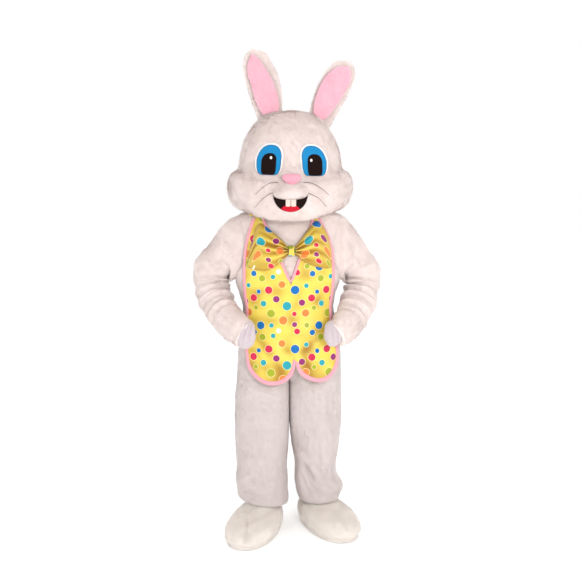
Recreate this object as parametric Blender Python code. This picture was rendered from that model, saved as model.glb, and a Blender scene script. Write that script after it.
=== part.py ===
"""A rabbit mascot costume, worn and standing with its hands on its hips: head, suit, mitts, foot covers, vest and bow.

Metres, +Z up, the front faces -Y and +X is the viewer's right. Heights in the tables count from the floor.
The origin is between the wearer's shoulders, SHOULDER_HEIGHT above the floor, where the wearer carries the suit.
"""

import math
from collections import namedtuple

import bmesh
import bpy
from mathutils import Vector
from mathutils.bvhtree import BVHTree

SHOULDER_HEIGHT = 1.30
SEAM_GAP = 0.0003
PLUSH = 0.006
HEAD_FOAM = 0.009
MITT_CLOTH = 0.003

# The suit's body from hip seam to neck edge, as level rings. A power under 1 squares a ring off.
BodyRing = namedtuple("BodyRing", "height half_width front back centre power")
BODY = [
    BodyRing(0.800, 0.212, 0.130, 0.128, -0.003, 0.80),
    BodyRing(0.860, 0.200, 0.126, 0.118, -0.006, 0.82),
    BodyRing(0.915, 0.193, 0.123, 0.112, -0.008, 0.84),
    BodyRing(0.965, 0.201, 0.126, 0.114, -0.010, 0.85),
    BodyRing(1.030, 0.221, 0.133, 0.122, -0.010, 0.86),
    BodyRing(1.120, 0.227, 0.138, 0.130, -0.007, 0.86),
    BodyRing(1.200, 0.226, 0.132, 0.130, -0.004, 0.88),
    BodyRing(1.260, 0.222, 0.118, 0.120, -0.002, 0.92),
    BodyRing(1.304, 0.212, 0.101, 0.106, 0.0, 0.96),
    BodyRing(1.321, 0.170, 0.092, 0.098, 0.0, 1.0),
    BodyRing(1.332, 0.137, 0.086, 0.091, 0.0, 1.0),
    BodyRing(1.347, 0.120, 0.083, 0.087, 0.0, 1.0),
    BodyRing(1.372, 0.114, 0.081, 0.084, 0.0, 1.0),
]
HIP_SEAM, ARMPIT, SHOULDER_POINT, NECK_EDGE = 0.800, 1.030, 1.304, 1.372
ARMHOLE_ANGLE = math.radians(36)
BODY_CELLS = 12
SLEEVE_CELLS = 12

# The head's plush outline, rim to crown. The drops lower a ring at the front and at the back.
HeadRing = namedtuple("HeadRing", "height half_width front back front_drop back_drop")
HEAD = [
    HeadRing(1.3380, 0.140, 0.092, 0.097, 0.000, 0.000),
    HeadRing(1.3180, 0.188, 0.172, 0.152, 0.043, 0.009),
    HeadRing(1.3320, 0.229, 0.208, 0.175, 0.042, 0.008),
    HeadRing(1.3570, 0.250, 0.228, 0.190, 0.033, 0.006),
    HeadRing(1.3860, 0.2605, 0.240, 0.197, 0.028, 0.0),
    HeadRing(1.4200, 0.2635, 0.244, 0.201, 0.028, 0.0),
    HeadRing(1.4500, 0.2585, 0.240, 0.203, 0.030, 0.0),
    HeadRing(1.4740, 0.2430, 0.226, 0.204, 0.034, 0.0),
    HeadRing(1.4900, 0.2205, 0.204, 0.205, 0.038, 0.0),
    HeadRing(1.5100, 0.2150, 0.197, 0.206, 0.034, 0.0),
    HeadRing(1.5450, 0.2100, 0.195, 0.205, 0.018, 0.0),
    HeadRing(1.5800, 0.2010, 0.189, 0.198, 0.006, 0.0),
    HeadRing(1.6130, 0.1890, 0.177, 0.187, 0.0, 0.0),
    HeadRing(1.6440, 0.1720, 0.160, 0.170, 0.0, 0.0),
    HeadRing(1.6740, 0.1500, 0.138, 0.148, 0.0, 0.0),
    HeadRing(1.7010, 0.1190, 0.108, 0.116, 0.0, 0.0),
    HeadRing(1.7210, 0.0770, 0.069, 0.074, 0.0, 0.0),
    HeadRing(1.7310, 0.0, 0.0, 0.0, 0.0, 0.0),
]
HEAD_POWER = 0.93
HEAD_CELLS = 28
CREASE_RING = 8
HEAD_CORE = Vector((0, 0, 1.50))

# Arm, mitt and ear centrelines. across is the half width seen from the front, deep the half thickness.
Station = namedtuple("Station", "x y z across deep")
RIGHT_ARM = [
    Station(0.180, 0.000, 1.187, 0.136, 0.094),
    Station(0.218, 0.006, 1.171, 0.128, 0.094),
    Station(0.256, 0.014, 1.134, 0.097, 0.090),
    Station(0.294, 0.022, 1.079, 0.082, 0.084),
    Station(0.304, 0.020, 1.010, 0.077, 0.080),
    Station(0.286, -0.012, 0.944, 0.076, 0.074),
    Station(0.254, -0.080, 0.887, 0.071, 0.063),
    Station(0.224, -0.134, 0.849, 0.065, 0.054),
    Station(0.200, -0.153, 0.833, 0.058, 0.048),
]
LEFT_ARM = [
    Station(-0.186, 0.000, 1.190, 0.142, 0.094),
    Station(-0.234, 0.006, 1.176, 0.138, 0.094),
    Station(-0.277, 0.014, 1.138, 0.101, 0.090),
    Station(-0.318, 0.022, 1.079, 0.087, 0.084),
    Station(-0.329, 0.020, 1.010, 0.080, 0.080),
    Station(-0.310, -0.012, 0.947, 0.073, 0.074),
    Station(-0.266, -0.086, 0.890, 0.069, 0.061),
    Station(-0.220, -0.140, 0.852, 0.066, 0.053),
    Station(-0.195, -0.157, 0.834, 0.062, 0.047),
]
ARMHOLE_BLEND = 0.15
SLEEVE_ROWS = 32

# Creases in the cloth. along is metres down the piece, around is degrees from the inner side by the front.
Fold = namedtuple("Fold", "along around reach width height slant")
RIGHT_SLEEVE_FOLDS = [
    Fold(0.085, 120, 50, 0.016, 0.005, 0.030),
    Fold(0.120, 90, 55, 0.014, -0.006, 0.040),
    Fold(0.155, 100, 60, 0.015, 0.006, 0.034),
    Fold(0.195, 50, 60, 0.011, -0.008, 0.020),
    Fold(0.222, 30, 95, 0.011, 0.006, 0.006),
    Fold(0.246, 20, 100, 0.010, -0.008, 0.002),
    Fold(0.270, 30, 110, 0.011, 0.006, 0.0),
    Fold(0.294, 10, 110, 0.010, -0.008, -0.002),
    Fold(0.320, 20, 110, 0.012, 0.006, -0.004),
    Fold(0.346, 30, 100, 0.010, -0.006, -0.006),
    Fold(0.372, 60, 90, 0.012, 0.004, -0.008),
    Fold(0.400, 120, 70, 0.011, -0.005, -0.010),
]
LEFT_SLEEVE_FOLDS = [
    Fold(0.080, 100, 50, 0.016, 0.005, 0.034),
    Fold(0.118, 80, 50, 0.013, -0.006, 0.042),
    Fold(0.150, 95, 60, 0.014, 0.007, 0.046),
    Fold(0.200, 40, 60, 0.011, -0.009, 0.016),
    Fold(0.226, 20, 90, 0.011, 0.006, 0.004),
    Fold(0.252, 10, 105, 0.010, -0.009, 0.0),
    Fold(0.280, 20, 110, 0.012, 0.007, -0.002),
    Fold(0.308, 10, 100, 0.010, -0.008, -0.004),
    Fold(0.338, 30, 95, 0.012, 0.005, -0.006),
    Fold(0.368, 40, 90, 0.011, -0.005, -0.010),
    Fold(0.402, 80, 80, 0.013, 0.004, -0.014),
]

# Trouser legs from hip seam to hem. inner and outer are distances from the suit's middle line.
LegRing = namedtuple("LegRing", "height inner outer middle deep")
RIGHT_LEG = [
    LegRing(0.800, 0.0, 0.212, 0.0, 0.130),
    LegRing(0.700, 0.0, 0.220, 0.0, 0.126),
    LegRing(0.600, 0.0, 0.2215, 0.002, 0.119),
    LegRing(0.520, 0.0, 0.222, 0.004, 0.114),
    LegRing(0.430, 0.002, 0.223, 0.003, 0.110),
    LegRing(0.340, 0.008, 0.216, 0.000, 0.107),
    LegRing(0.255, 0.020, 0.203, -0.003, 0.104),
    LegRing(0.205, 0.020, 0.206, -0.004, 0.102),
    LegRing(0.160, 0.020, 0.230, -0.005, 0.100),
    LegRing(0.130, 0.026, 0.230, -0.006, 0.100),
    LegRing(0.101, 0.037, 0.216, -0.006, 0.099),
]
LEFT_LEG = [
    LegRing(0.800, 0.0, 0.212, 0.0, 0.130),
    LegRing(0.700, 0.0, 0.219, 0.0, 0.126),
    LegRing(0.600, 0.0, 0.226, -0.004, 0.119),
    LegRing(0.520, 0.0, 0.231, -0.010, 0.114),
    LegRing(0.430, 0.002, 0.233, -0.018, 0.112),
    LegRing(0.340, 0.004, 0.231, -0.027, 0.110),
    LegRing(0.255, 0.010, 0.224, -0.036, 0.107),
    LegRing(0.205, 0.007, 0.225, -0.042, 0.106),
    LegRing(0.160, 0.007, 0.228, -0.046, 0.105),
    LegRing(0.125, 0.003, 0.222, -0.050, 0.104),
    LegRing(0.1085, 0.004, 0.211, -0.052, 0.102),
]
HEM_SLANT = {1: 0.002, -1: 0.010}
CROTCH, FORK_HEIGHT = 0.600, 0.115
SUIT_MIDDLE = -0.003
LEG_CELLS = 16
LEG_ROWS_ABOVE = [0.7997, 0.765, 0.730, 0.700, 0.670, 0.645, 0.625, 0.609, 0.602]
LEG_ROWS_BELOW = 13
RIGHT_LEG_FOLDS = [
    Fold(0.36, 130, 30, 0.060, -0.006, 0.12),
    Fold(0.50, 70, 42, 0.024, -0.007, 0.10),
    Fold(0.550, 85, 44, 0.024, 0.006, 0.10),
    Fold(0.600, 90, 46, 0.022, -0.008, 0.09),
    Fold(0.668, 110, 90, 0.016, -0.006, 0.02),
]
LEFT_LEG_FOLDS = [
    Fold(0.44, 120, 34, 0.070, -0.005, 0.12),
    Fold(0.610, 150, 60, 0.024, 0.005, -0.02),
    Fold(0.658, 110, 80, 0.018, -0.006, -0.015),
]

# Foot covers: a long egg seen from above, sunk towards the ankle. heel and toe count from the heel's end.
FootRing = namedtuple("FootRing", "height heel toe width")
FOOT = [
    FootRing(0.0113, 0.006, 0.402, 0.188),
    FootRing(0.0300, 0.000, 0.417, 0.205),
    FootRing(0.0520, 0.001, 0.409, 0.206),
    FootRing(0.0680, 0.006, 0.380, 0.198),
    FootRing(0.0790, 0.016, 0.330, 0.182),
    FootRing(0.0870, 0.026, 0.276, 0.164),
    FootRing(0.0930, 0.034, 0.222, 0.144),
    FootRing(0.1110, 0.040, 0.192, 0.130),
    FootRing(0.1600, 0.042, 0.188, 0.128),
]
ANKLE_FROM_HEEL = 0.115
SOLE = 0.011
FOOT_CELLS = 16
FootPlace = namedtuple("FootPlace", "x y turn")
RIGHT_FOOT = FootPlace(0.120, -0.004, 23.0)
LEFT_FOOT = FootPlace(-0.115, -0.064, -16.0)

# Mitts: a fist closed over the hip, with a gauntlet up inside the sleeve.
RIGHT_MITT = [
    Station(0.228, -0.126, 0.854, 0.039, 0.032),
    Station(0.200, -0.153, 0.833, 0.040, 0.034),
    Station(0.182, -0.160, 0.829, 0.0482, 0.038),
    Station(0.165, -0.163, 0.826, 0.053, 0.040),
    Station(0.150, -0.163, 0.825, 0.045, 0.036),
    Station(0.141, -0.162, 0.824, 0.028, 0.024),
    Station(0.137, -0.161, 0.824, 0.0, 0.0),
]
LEFT_MITT = [
    Station(-0.224, -0.132, 0.857, 0.041, 0.032),
    Station(-0.195, -0.157, 0.834, 0.0509, 0.0390),
    Station(-0.179, -0.163, 0.826, 0.0589, 0.0430),
    Station(-0.165, -0.165, 0.821, 0.057, 0.040),
    Station(-0.152, -0.165, 0.819, 0.049, 0.036),
    Station(-0.143, -0.164, 0.818, 0.031, 0.024),
    Station(-0.139, -0.163, 0.818, 0.0, 0.0),
]
MITT_FOLDS = [
    Fold(0.071, 90, 62, 0.0045, -0.0050, 0.004),
    Fold(0.087, 85, 66, 0.0045, -0.0055, 0.002),
    Fold(0.055, 95, 55, 0.0045, -0.0040, 0.006),
]
MITT_CELLS, MITT_ROWS = 12, 11

# Ears: padded blades rising from the crown, with a lining on their front.
RIGHT_EAR = [
    Station(0.104, 0.022, 1.640, 0.046, 0.020),
    Station(0.121, 0.021, 1.700, 0.053, 0.021),
    Station(0.147, 0.020, 1.762, 0.066, 0.021),
    Station(0.178, 0.018, 1.822, 0.072, 0.019),
    Station(0.209, 0.016, 1.872, 0.066, 0.016),
    Station(0.233, 0.015, 1.906, 0.049, 0.012),
    Station(0.250, 0.015, 1.931, 0.0, 0.0),
]
LEFT_EAR = [
    Station(-0.070, 0.022, 1.640, 0.048, 0.020),
    Station(-0.078, 0.021, 1.705, 0.055, 0.021),
    Station(-0.094, 0.020, 1.775, 0.070, 0.021),
    Station(-0.110, 0.018, 1.845, 0.074, 0.019),
    Station(-0.133, 0.016, 1.908, 0.067, 0.016),
    Station(-0.149, 0.015, 1.955, 0.047, 0.012),
    Station(-0.157, 0.015, 1.985, 0.0, 0.0),
]
EAR_ROWS, EAR_COLUMNS = 9, 8
LINING_SHARE = 0.74

# The vest's sides; its V neck and two-lobed hem are given by their corners as (x, height).
VEST_LIFT, SATIN = 0.0038, 0.002
VestEdge = namedtuple("VestEdge", "height left right")
VEST = [
    VestEdge(0.700, -0.178, 0.202),
    VestEdge(0.750, -0.184, 0.201),
    VestEdge(0.800, -0.186, 0.192),
    VestEdge(0.870, -0.184, 0.177),
    VestEdge(0.925, -0.184, 0.173),
    VestEdge(0.967, -0.190, 0.178),
    VestEdge(1.024, -0.193, 0.183),
    VestEdge(1.061, -0.193, 0.184),
    VestEdge(1.122, -0.191, 0.181),
    VestEdge(1.169, -0.186, 0.175),
    VestEdge(1.216, -0.176, 0.160),
    VestEdge(1.262, -0.162, 0.137),
    VestEdge(1.294, -0.150, 0.121),
]
V_LOW, V_LEFT, V_RIGHT = (0.003, 1.0405), (-0.106, 1.292), (0.090, 1.292)
V_MITRE = 0.027
NOTCH = (0.023, 0.711)
LEFT_LOBE, RIGHT_LOBE = (-0.066, 0.614), (0.121, 0.626)
SIDE_END = 0.722
SKIRT = [
    BodyRing(0.590, 0.2290, 0.146, 0.12, -0.003, 0.80),
    BodyRing(0.660, 0.2280, 0.143, 0.12, -0.003, 0.80),
    BodyRing(0.730, 0.2240, 0.137, 0.12, -0.003, 0.80),
    BODY[0],
    BODY[1],
]
BINDING, BINDING_LIFT, BINDING_WALL = 0.010, 0.0054, 0.0038
VEST_LEVELS = [0.722, 0.780, 0.840, 0.895, 0.955, 1.0135]
VEST_TOP_LEVELS = [1.055, 1.105, 1.155, 1.200, 1.240, 1.270, 1.292]
LOBE_CELLS = 8

# The halter strap round the neck, as edges on the suit's rings: turn is degrees, ring a place between ring numbers.
StrapStep = namedtuple("StrapStep", "place outer_turn outer_ring inner_turn inner_ring")
STRAP = [
    StrapStep(0.0, 138.0, 7.73, 121.0, 7.73),
    StrapStep(0.1, 150.0, 8.55, 130.0, 8.95),
    StrapStep(0.2, 172.0, 9.25, 158.0, 10.45),
    StrapStep(0.5, 270.0, 10.9, 270.0, 11.8),
    StrapStep(0.8, 370.0, 9.25, 382.0, 10.45),
    StrapStep(0.9, 396.0, 8.55, 409.0, 8.95),
    StrapStep(1.0, 413.0, 7.73, 424.0, 7.73),
]
STRAP_ROWS, STRAP_LIFT = 24, 0.0042

# The bow's loops fan out from the knot: the upper and lower edge at each distance.
BowStep = namedtuple("BowStep", "place x top bottom puff")
RIGHT_LOOP = [
    BowStep(0, 0.0200, 1.174, 1.143, 0.014),
    BowStep(1, 0.045, 1.208, 1.122, 0.028),
    BowStep(2, 0.075, 1.247, 1.106, 0.038),
    BowStep(3, 0.104, 1.278, 1.094, 0.040),
    BowStep(4, 0.132, 1.258, 1.088, 0.034),
    BowStep(5, 0.154, 1.216, 1.085, 0.021),
    BowStep(6, 0.168, 1.158, 1.088, 0.007),
]
LEFT_LOOP = [
    BowStep(0, -0.0080, 1.176, 1.141, 0.014),
    BowStep(1, -0.034, 1.204, 1.114, 0.028),
    BowStep(2, -0.066, 1.232, 1.090, 0.038),
    BowStep(3, -0.098, 1.256, 1.077, 0.042),
    BowStep(4, -0.128, 1.264, 1.078, 0.036),
    BowStep(5, -0.153, 1.196, 1.083, 0.022),
    BowStep(6, -0.173, 1.120, 1.090, 0.007),
]
KNOT, KNOT_HALF, KNOT_TALL, KNOT_PUFF = (0.006, 1.158), 0.0135, 0.021, 0.024
BOW_BACK = 0.0064

# The face, as (x, height) on the front of the head.
LEFT_EYE, RIGHT_EYE = (-0.083, 1.513), (0.096, 1.509)
EYE_HALF, EYE_UP, EYE_DOWN, EYE_RIM = 0.0485, 0.061, 0.048, 0.005
PUPIL_HALF, PUPIL_UP, PUPIL_DOWN = 0.029, 0.030, 0.044
NOSE, NOSE_HALF, NOSE_TALL = (0.007, 1.443), 0.037, 0.020
MUZZLE, MUZZLE_HALF, MUZZLE_TALL, MUZZLE_PUFF = (0.002, 1.396), 0.071, 0.0355, 0.034
MOUTH_HALF, MOUTH_LOW = 0.068, 1.3120
TONGUE_HALF, TONGUE_TOP, TONGUE_LOW = 0.038, 1.3350, 1.3170
TEETH = [("tooth_left", -0.0170, 0.0030), ("tooth_right", 0.0036, 0.0240)]
TOOTH_LOW = 1.3325
Whisker = namedtuple("Whisker", "name spots")
WHISKERS = [
    Whisker("whisker_left_upper", [(-0.046, 1.4252), (-0.072, 1.424), (-0.101, 1.409), (-0.134, 1.379)]),
    Whisker("whisker_left_lower", [(-0.066, 1.386), (-0.082, 1.379), (-0.108, 1.360), (-0.139, 1.329)]),
    Whisker("whisker_right_upper", [(0.052, 1.426), (0.089, 1.421), (0.130, 1.397), (0.151, 1.378)]),
    Whisker("whisker_right_lower", [(0.070, 1.385), (0.096, 1.373), (0.112, 1.364), (0.145, 1.331)]),
]
WHISKER_RADIUS = 0.0009


def smooth(t):
    """0 to 1 with level ends."""
    t = min(1.0, max(0.0, t))
    return t * t * (3 - 2 * t)


def between(rows, at, key=0):
    """A table's row at a value of its key column, on a smooth curve through the rows."""
    keys = [row[key] for row in rows]
    if keys[0] > keys[-1]:
        rows, keys = rows[::-1], keys[::-1]
    i = max([k for k in range(len(keys) - 1) if keys[k] <= at], default=0)
    span = keys[i + 1] - keys[i]
    t = min(1.0, max(0.0, (at - keys[i]) / span))

    def slope(k, column):
        low, high = max(0, k - 1), min(len(rows) - 1, k + 1)
        return (rows[high][column] - rows[low][column]) / (keys[high] - keys[low])

    values = []
    for column in range(len(rows[0])):
        start, end = rows[i][column], rows[i + 1][column]
        bend_in, bend_out = slope(i, column) * span, slope(i + 1, column) * span
        values.append(
            start * (2 * t**3 - 3 * t**2 + 1)
            + bend_in * (t**3 - 2 * t**2 + t)
            + end * (3 * t**2 - 2 * t**3)
            + bend_out * (t**3 - t**2)
        )
    return type(rows[0])(*values)


def counted(rows):
    """The table with its rows' numbers as a first column, to be read by row number."""
    numbered = namedtuple("Numbered", ("row",) + rows[0]._fields)
    return [numbered(i, *row) for i, row in enumerate(rows)]


def signed_power(value, power):
    return math.copysign(abs(value) ** power, value)


def spaced(start, end, count):
    return [start + (end - start) * i / count for i in range(count + 1)]


def mix(a, b, share):
    return a + (b - a) * share


def ring_point(ring, angle, grow=0.0):
    """A point of a level ring. Angle 0 is the viewer's right, a quarter turn is the front."""
    side, face = math.cos(angle), math.sin(angle)
    depth = ring.front if face > 0 else ring.back
    x = ring.centre + (ring.half_width + grow) * signed_power(side, ring.power)
    y = -(depth + grow) * signed_power(face, ring.power)
    return Vector((x, y, ring.height))


NUMBERED_BODY = counted(BODY)
NUMBERED_HEAD = counted(HEAD)


def drape_point(x, height, lift):
    """A point at x on the suit's front, or below the hip on the vest's own hang, lifted off it."""
    ring = between(BODY, height) if height >= BODY[1].height else between(SKIRT, height)
    share = min(1.0, max(-1.0, (x - ring.centre) / (ring.half_width + lift)))
    return ring_point(ring, math.acos(signed_power(share, 1 / ring.power)), lift)


def armhole_angle(height):
    """How far round to the front and back the armhole reaches at a height."""
    share = (height - ARMPIT) / (SHOULDER_POINT - ARMPIT)
    if not 0 < share < 1:
        return 0.0
    return ARMHOLE_ANGLE * math.sqrt(math.sin(math.pi * share))


def armhole_height(around):
    return ARMPIT + (SHOULDER_POINT - ARMPIT) * (1 - math.cos(around)) / 2


def armhole_point(side, around):
    """The armhole's edge, from the armpit round by the front, the shoulder point and the back."""
    height = armhole_height(around)
    turn = armhole_angle(height) * (1 if around <= math.pi else -1)
    return ring_point(between(BODY, height), turn if side > 0 else math.pi - turn)


def fold_lift(folds, along, degrees):
    """How far the creases lift the cloth of a tube."""
    lift = 0.0
    for fold in folds:
        turn = (degrees - fold.around + 180) % 360 - 180
        off = (along - fold.along - fold.slant * turn / 90) / fold.width
        lift += fold.height * math.exp(-off * off - (turn / fold.reach) ** 2)
    return lift


class Path:
    """A smooth centreline with its running length and the directions across it."""

    STEPS = 160

    def __init__(self, stations, side):
        self.side = side
        self.table = counted(stations)
        self.keys = spaced(0, len(stations) - 1, self.STEPS)
        spots = [self.place(key) for key in self.keys]
        self.lengths = [0.0]
        for a, b in zip(spots, spots[1:]):
            self.lengths.append(self.lengths[-1] + (b - a).length)
        self.length = self.lengths[-1]

    def place(self, key):
        row = between(self.table, key)
        return Vector((row.x, row.y, row.z))

    def key_at(self, along):
        along = min(self.length, max(0.0, along))
        i = max(k for k in range(self.STEPS) if self.lengths[k] <= along)
        return mix(self.keys[i], self.keys[i + 1], (along - self.lengths[i]) / (self.lengths[i + 1] - self.lengths[i]))

    def frame(self, along):
        """Centre, inner direction and front direction at a length along the path."""
        key = self.key_at(along)
        ahead = self.place(min(key + 0.05, self.keys[-1])) - self.place(max(key - 0.05, 0.0))
        ahead.normalize()
        front = Vector((0, -1, 0))
        front = (front - ahead * front.dot(ahead)).normalized()
        beyond = min(0.0, along) + max(0.0, along - self.length)
        return self.place(key) + ahead * beyond, ahead.cross(front) * self.side, front

    def sizes(self, along):
        row = between(self.table, self.key_at(along))
        return row.across, row.deep


def tube_point(path, folds, along, around):
    centre, inner, front = path.frame(along)
    across, deep = path.sizes(along)
    lift = fold_lift(folds, along, math.degrees(around) % 360) * min(1.0, across / 0.03)
    return centre + inner * (across + lift) * math.cos(around) + front * (deep + lift) * math.sin(around)


def sleeve_point(path, folds, along, around):
    """A point of a sleeve: the armhole's edge turning into a creased tube along the arm."""
    tube = tube_point(path, folds, along, around)
    share = smooth(along / ARMHOLE_BLEND)
    if share == 1:
        return tube
    drift = path.frame(along)[0] - path.frame(0.0)[0]
    start = armhole_point(path.side, around % (2 * math.pi)) + Vector((path.side * SEAM_GAP, 0, 0))
    return (start + drift).lerp(tube, share)


def leg_point(side, table, folds, share, height):
    """A point of a trouser leg: half the hip ring above the crotch, turning into a whole ring below it."""
    ring = between(table, height)
    inner, outer = max(ring.inner, 0.0), ring.outer
    open_x = inner + (outer - inner) * signed_power(math.sin(math.pi * share), 0.80)
    open_y = -ring.deep * signed_power(math.cos(math.pi * share), 0.80)
    turn = 2 * math.pi * share
    half = (outer - inner) / 2
    round_x = inner + half - half * signed_power(math.cos(turn), 0.92)
    round_y = ring.middle - ring.deep * signed_power(math.sin(turn), 0.92)
    closed = 1 - math.sqrt(min(1.0, max(0.0, (height - CROTCH) / FORK_HEIGHT)))
    x, y = mix(open_x, round_x, closed), mix(open_y, round_y, closed)
    lift = fold_lift(folds, HIP_SEAM - height, math.degrees(turn)) * smooth(closed)
    x -= lift * math.cos(turn)
    y -= lift * math.sin(turn)
    if 0 <= share <= 1:
        x = max(x, SEAM_GAP / 2)
    z = height - HEM_SLANT[side] * math.cos(turn) * smooth((0.26 - height) / 0.15)
    return Vector((SUIT_MIDDLE + side * x, y, z))


def head_point(angle, key):
    """A point of the head's plush by its angle and its ring number."""
    ring = between(NUMBERED_HEAD, key)
    side, face = math.cos(angle), math.sin(angle)
    depth = ring.front if face > 0 else ring.back
    drop = ring.front_drop if face > 0 else ring.back_drop
    x = ring.half_width * signed_power(side, HEAD_POWER)
    y = -depth * signed_power(face, HEAD_POWER)
    return Vector((x, y, ring.height - drop * face * face))


def foot_point(ring, place, turn, shrink=0.0):
    """A point of a foot's outline at one height: an egg from heel to toe, turned to the way the foot points."""
    out = math.radians(place.turn)
    ahead = Vector((math.sin(out), -math.cos(out), 0))
    across = Vector((math.cos(out), math.sin(out), 0))
    middle, half = (ring.heel + ring.toe) / 2, (ring.toe - ring.heel) / 2 - shrink
    along = middle + half * signed_power(math.cos(turn), 0.9)
    wide = (ring.width / 2 - shrink) * signed_power(math.sin(turn), 0.9) * (1 + 0.10 * math.cos(turn))
    return Vector((place.x, place.y, ring.height)) + ahead * (along - ANKLE_FROM_HEEL) + across * wide


def material(name, colour, roughness):
    made = bpy.data.materials.new(name)
    made.use_nodes = True
    shader = made.node_tree.nodes["Principled BSDF"]
    shader.inputs["Base Color"].default_value = (*colour, 1)
    shader.inputs["Roughness"].default_value = roughness
    return made


def spot_key(point):
    return tuple(round(c * 1e6) for c in point)


def grid_of(surface, us, vs, core, parted=""):
    """Columns, points and outward normals of a surface.

    parted names the edges drawn back by half a seam gap, and "flat" squares the wall at the first row's level seam.
    """
    points, normals, total = [], [], 0.0
    step_u, step_v = (us[-1] - us[0]) * 2e-4, (vs[-1] - vs[0]) * 2e-4
    for j, v in enumerate(vs):
        for i, u in enumerate(us):
            here = surface(u, v)
            along_u = surface(u + step_u, v) - surface(u - step_u, v)
            along_v = surface(u, v + step_v) - surface(u, v - step_v)
            normal = along_v.cross(along_u).normalized()
            if j == 0 and "flat" in parted:
                normal = Vector((normal.x, normal.y, 0)).normalized()
            total += normal.dot(here - core)
            shift = Vector()
            if i == 0 and "left" in parted:
                shift += along_u.normalized()
            if i == len(us) - 1 and "right" in parted:
                shift -= along_u.normalized()
            if j == 0 and "low" in parted:
                shift += along_v.normalized()
            if j == len(vs) - 1 and "high" in parted:
                shift -= along_v.normalized()
            points.append(here + shift * SEAM_GAP / 2)
            normals.append(normal)
    if total < 0:
        normals = [-n for n in normals]
    return len(us), points, normals


def solid_between(name, patches, finish):
    """A closed solid between outer and inner grids of points, walled along the grids' open edges.

    patches holds (columns, outer points, inner points) for each grid; points that coincide are joined.
    """
    spots, numbers = [], {}

    def number(point):
        key = spot_key(point)
        if key not in numbers:
            numbers[key] = len(spots)
            spots.append(point)
        return numbers[key]

    outer_faces, inner_faces, partner = [], [], {}
    for columns, outer, inner in patches:
        outside, inside = [number(p) for p in outer], [number(p) for p in inner]
        partner.update(zip(outside, inside))
        for r in range(len(outer) // columns - 1):
            for c in range(columns - 1):
                a = r * columns + c
                cell = (a, a + 1, a + 1 + columns, a + columns)
                outer_faces.append([outside[k] for k in cell])
                inner_faces.append([inside[k] for k in cell][::-1])
    uses = {}
    for face in outer_faces:
        for a, b in zip(face, face[1:] + face[:1]):
            if a != b:
                uses.setdefault(frozenset((a, b)), []).append((a, b))
    walls = []
    for edge in uses.values():
        if len(edge) == 1:
            a, b = edge[0]
            walls.append([b, a, partner[a], partner[b]])
    faces = []
    for face in outer_faces + inner_faces + walls:
        ring = [a for a, b in zip(face, face[1:] + face[:1]) if a != b]
        if len(set(ring)) >= 3:
            faces.append(ring)
    mesh = bpy.data.meshes.new(name)
    mesh.from_pydata(spots, [], faces)
    body = bmesh.new()
    body.from_mesh(mesh)
    bmesh.ops.recalc_face_normals(body, faces=body.faces)
    bmesh.ops.triangulate(body, faces=body.faces)
    if body.calc_volume(signed=True) < 0:
        bmesh.ops.reverse_faces(body, faces=body.faces)
    body.to_mesh(mesh)
    body.free()
    mesh.materials.append(finish)
    made = bpy.data.objects.new(name, mesh)
    made.parent = FLOOR
    COSTUME.objects.link(made)
    return made


def walled(name, grids, finish, wall):
    """A solid whose outer side is the grids and whose inner side lies one wall behind them."""
    sums = {}
    for _, points, normals in grids:
        for point, normal in zip(points, normals):
            sums[spot_key(point)] = sums.get(spot_key(point), Vector()) + normal
    patches = []
    for columns, points, _ in grids:
        inner = [p - sums[spot_key(p)].normalized() * wall for p in points]
        patches.append((columns, points, inner))
    return solid_between(name, patches, finish)


def panel(name, surface, us, vs, finish, wall, parted="", core=None):
    if core is None:
        spots = [surface(u, v) for u in us for v in vs]
        core = sum(spots, Vector()) / len(spots)
    return walled(name, [grid_of(surface, us, vs, core, parted)], finish, wall)


def body_panel(name, start, end, cells, finish):
    """A panel of the suit's body between two seams, with the armholes cut out of its sides."""
    heights = spaced(HIP_SEAM, ARMPIT, 5)[:-1]
    heights += [armhole_height(math.pi * k / (SLEEVE_CELLS // 2)) for k in range(SLEEVE_CELLS // 2 + 1)]
    heights += [1.313, 1.320, 1.326, 1.334, 1.348, NECK_EDGE]

    def surface(share, height):
        cut = armhole_angle(height)
        low = start + (cut if abs(math.sin(start)) < 0.01 else 0)
        high = end - (cut if abs(math.sin(end)) < 0.01 else 0)
        return ring_point(between(BODY, height), mix(low, high, share))

    panel(name, surface, spaced(0, 1, cells), heights, finish, PLUSH, "left right low flat", Vector((0, 0, 1.10)))


def make_body(finish):
    body_panel("body_front", 0.0, math.pi, BODY_CELLS, finish)
    body_panel("body_back_left", math.pi, 1.5 * math.pi, BODY_CELLS // 2, finish)
    body_panel("body_back_right", 1.5 * math.pi, 2 * math.pi, BODY_CELLS // 2, finish)


def make_sleeve(name, stations, folds, side, finish):
    path = Path(stations, side)

    def surface(around, along):
        return sleeve_point(path, folds, along, around)

    turns = spaced(0, 2 * math.pi, SLEEVE_CELLS)
    panel(name, surface, turns, spaced(0.0, path.length, SLEEVE_ROWS), finish, PLUSH)


def make_mitt(name, stations, side, finish):
    path = Path(stations, side)

    def surface(around, along):
        return tube_point(path, MITT_FOLDS, along, around)

    rows = [path.length * (1 - (1 - t) ** 1.5) for t in spaced(0, 1, MITT_ROWS)]
    panel(name, surface, spaced(0, 2 * math.pi, MITT_CELLS), rows, finish, MITT_CLOTH)


def make_leg(name, side, table, folds, finish):
    heights = LEG_ROWS_ABOVE + spaced(CROTCH, table[-1].height, LEG_ROWS_BELOW)

    def surface(share, height):
        return leg_point(side, table, folds, share, height)

    panel(name, surface, spaced(0, 1, LEG_CELLS), heights, finish, PLUSH, "flat", Vector((side * 0.11, 0, 0.45)))


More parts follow.
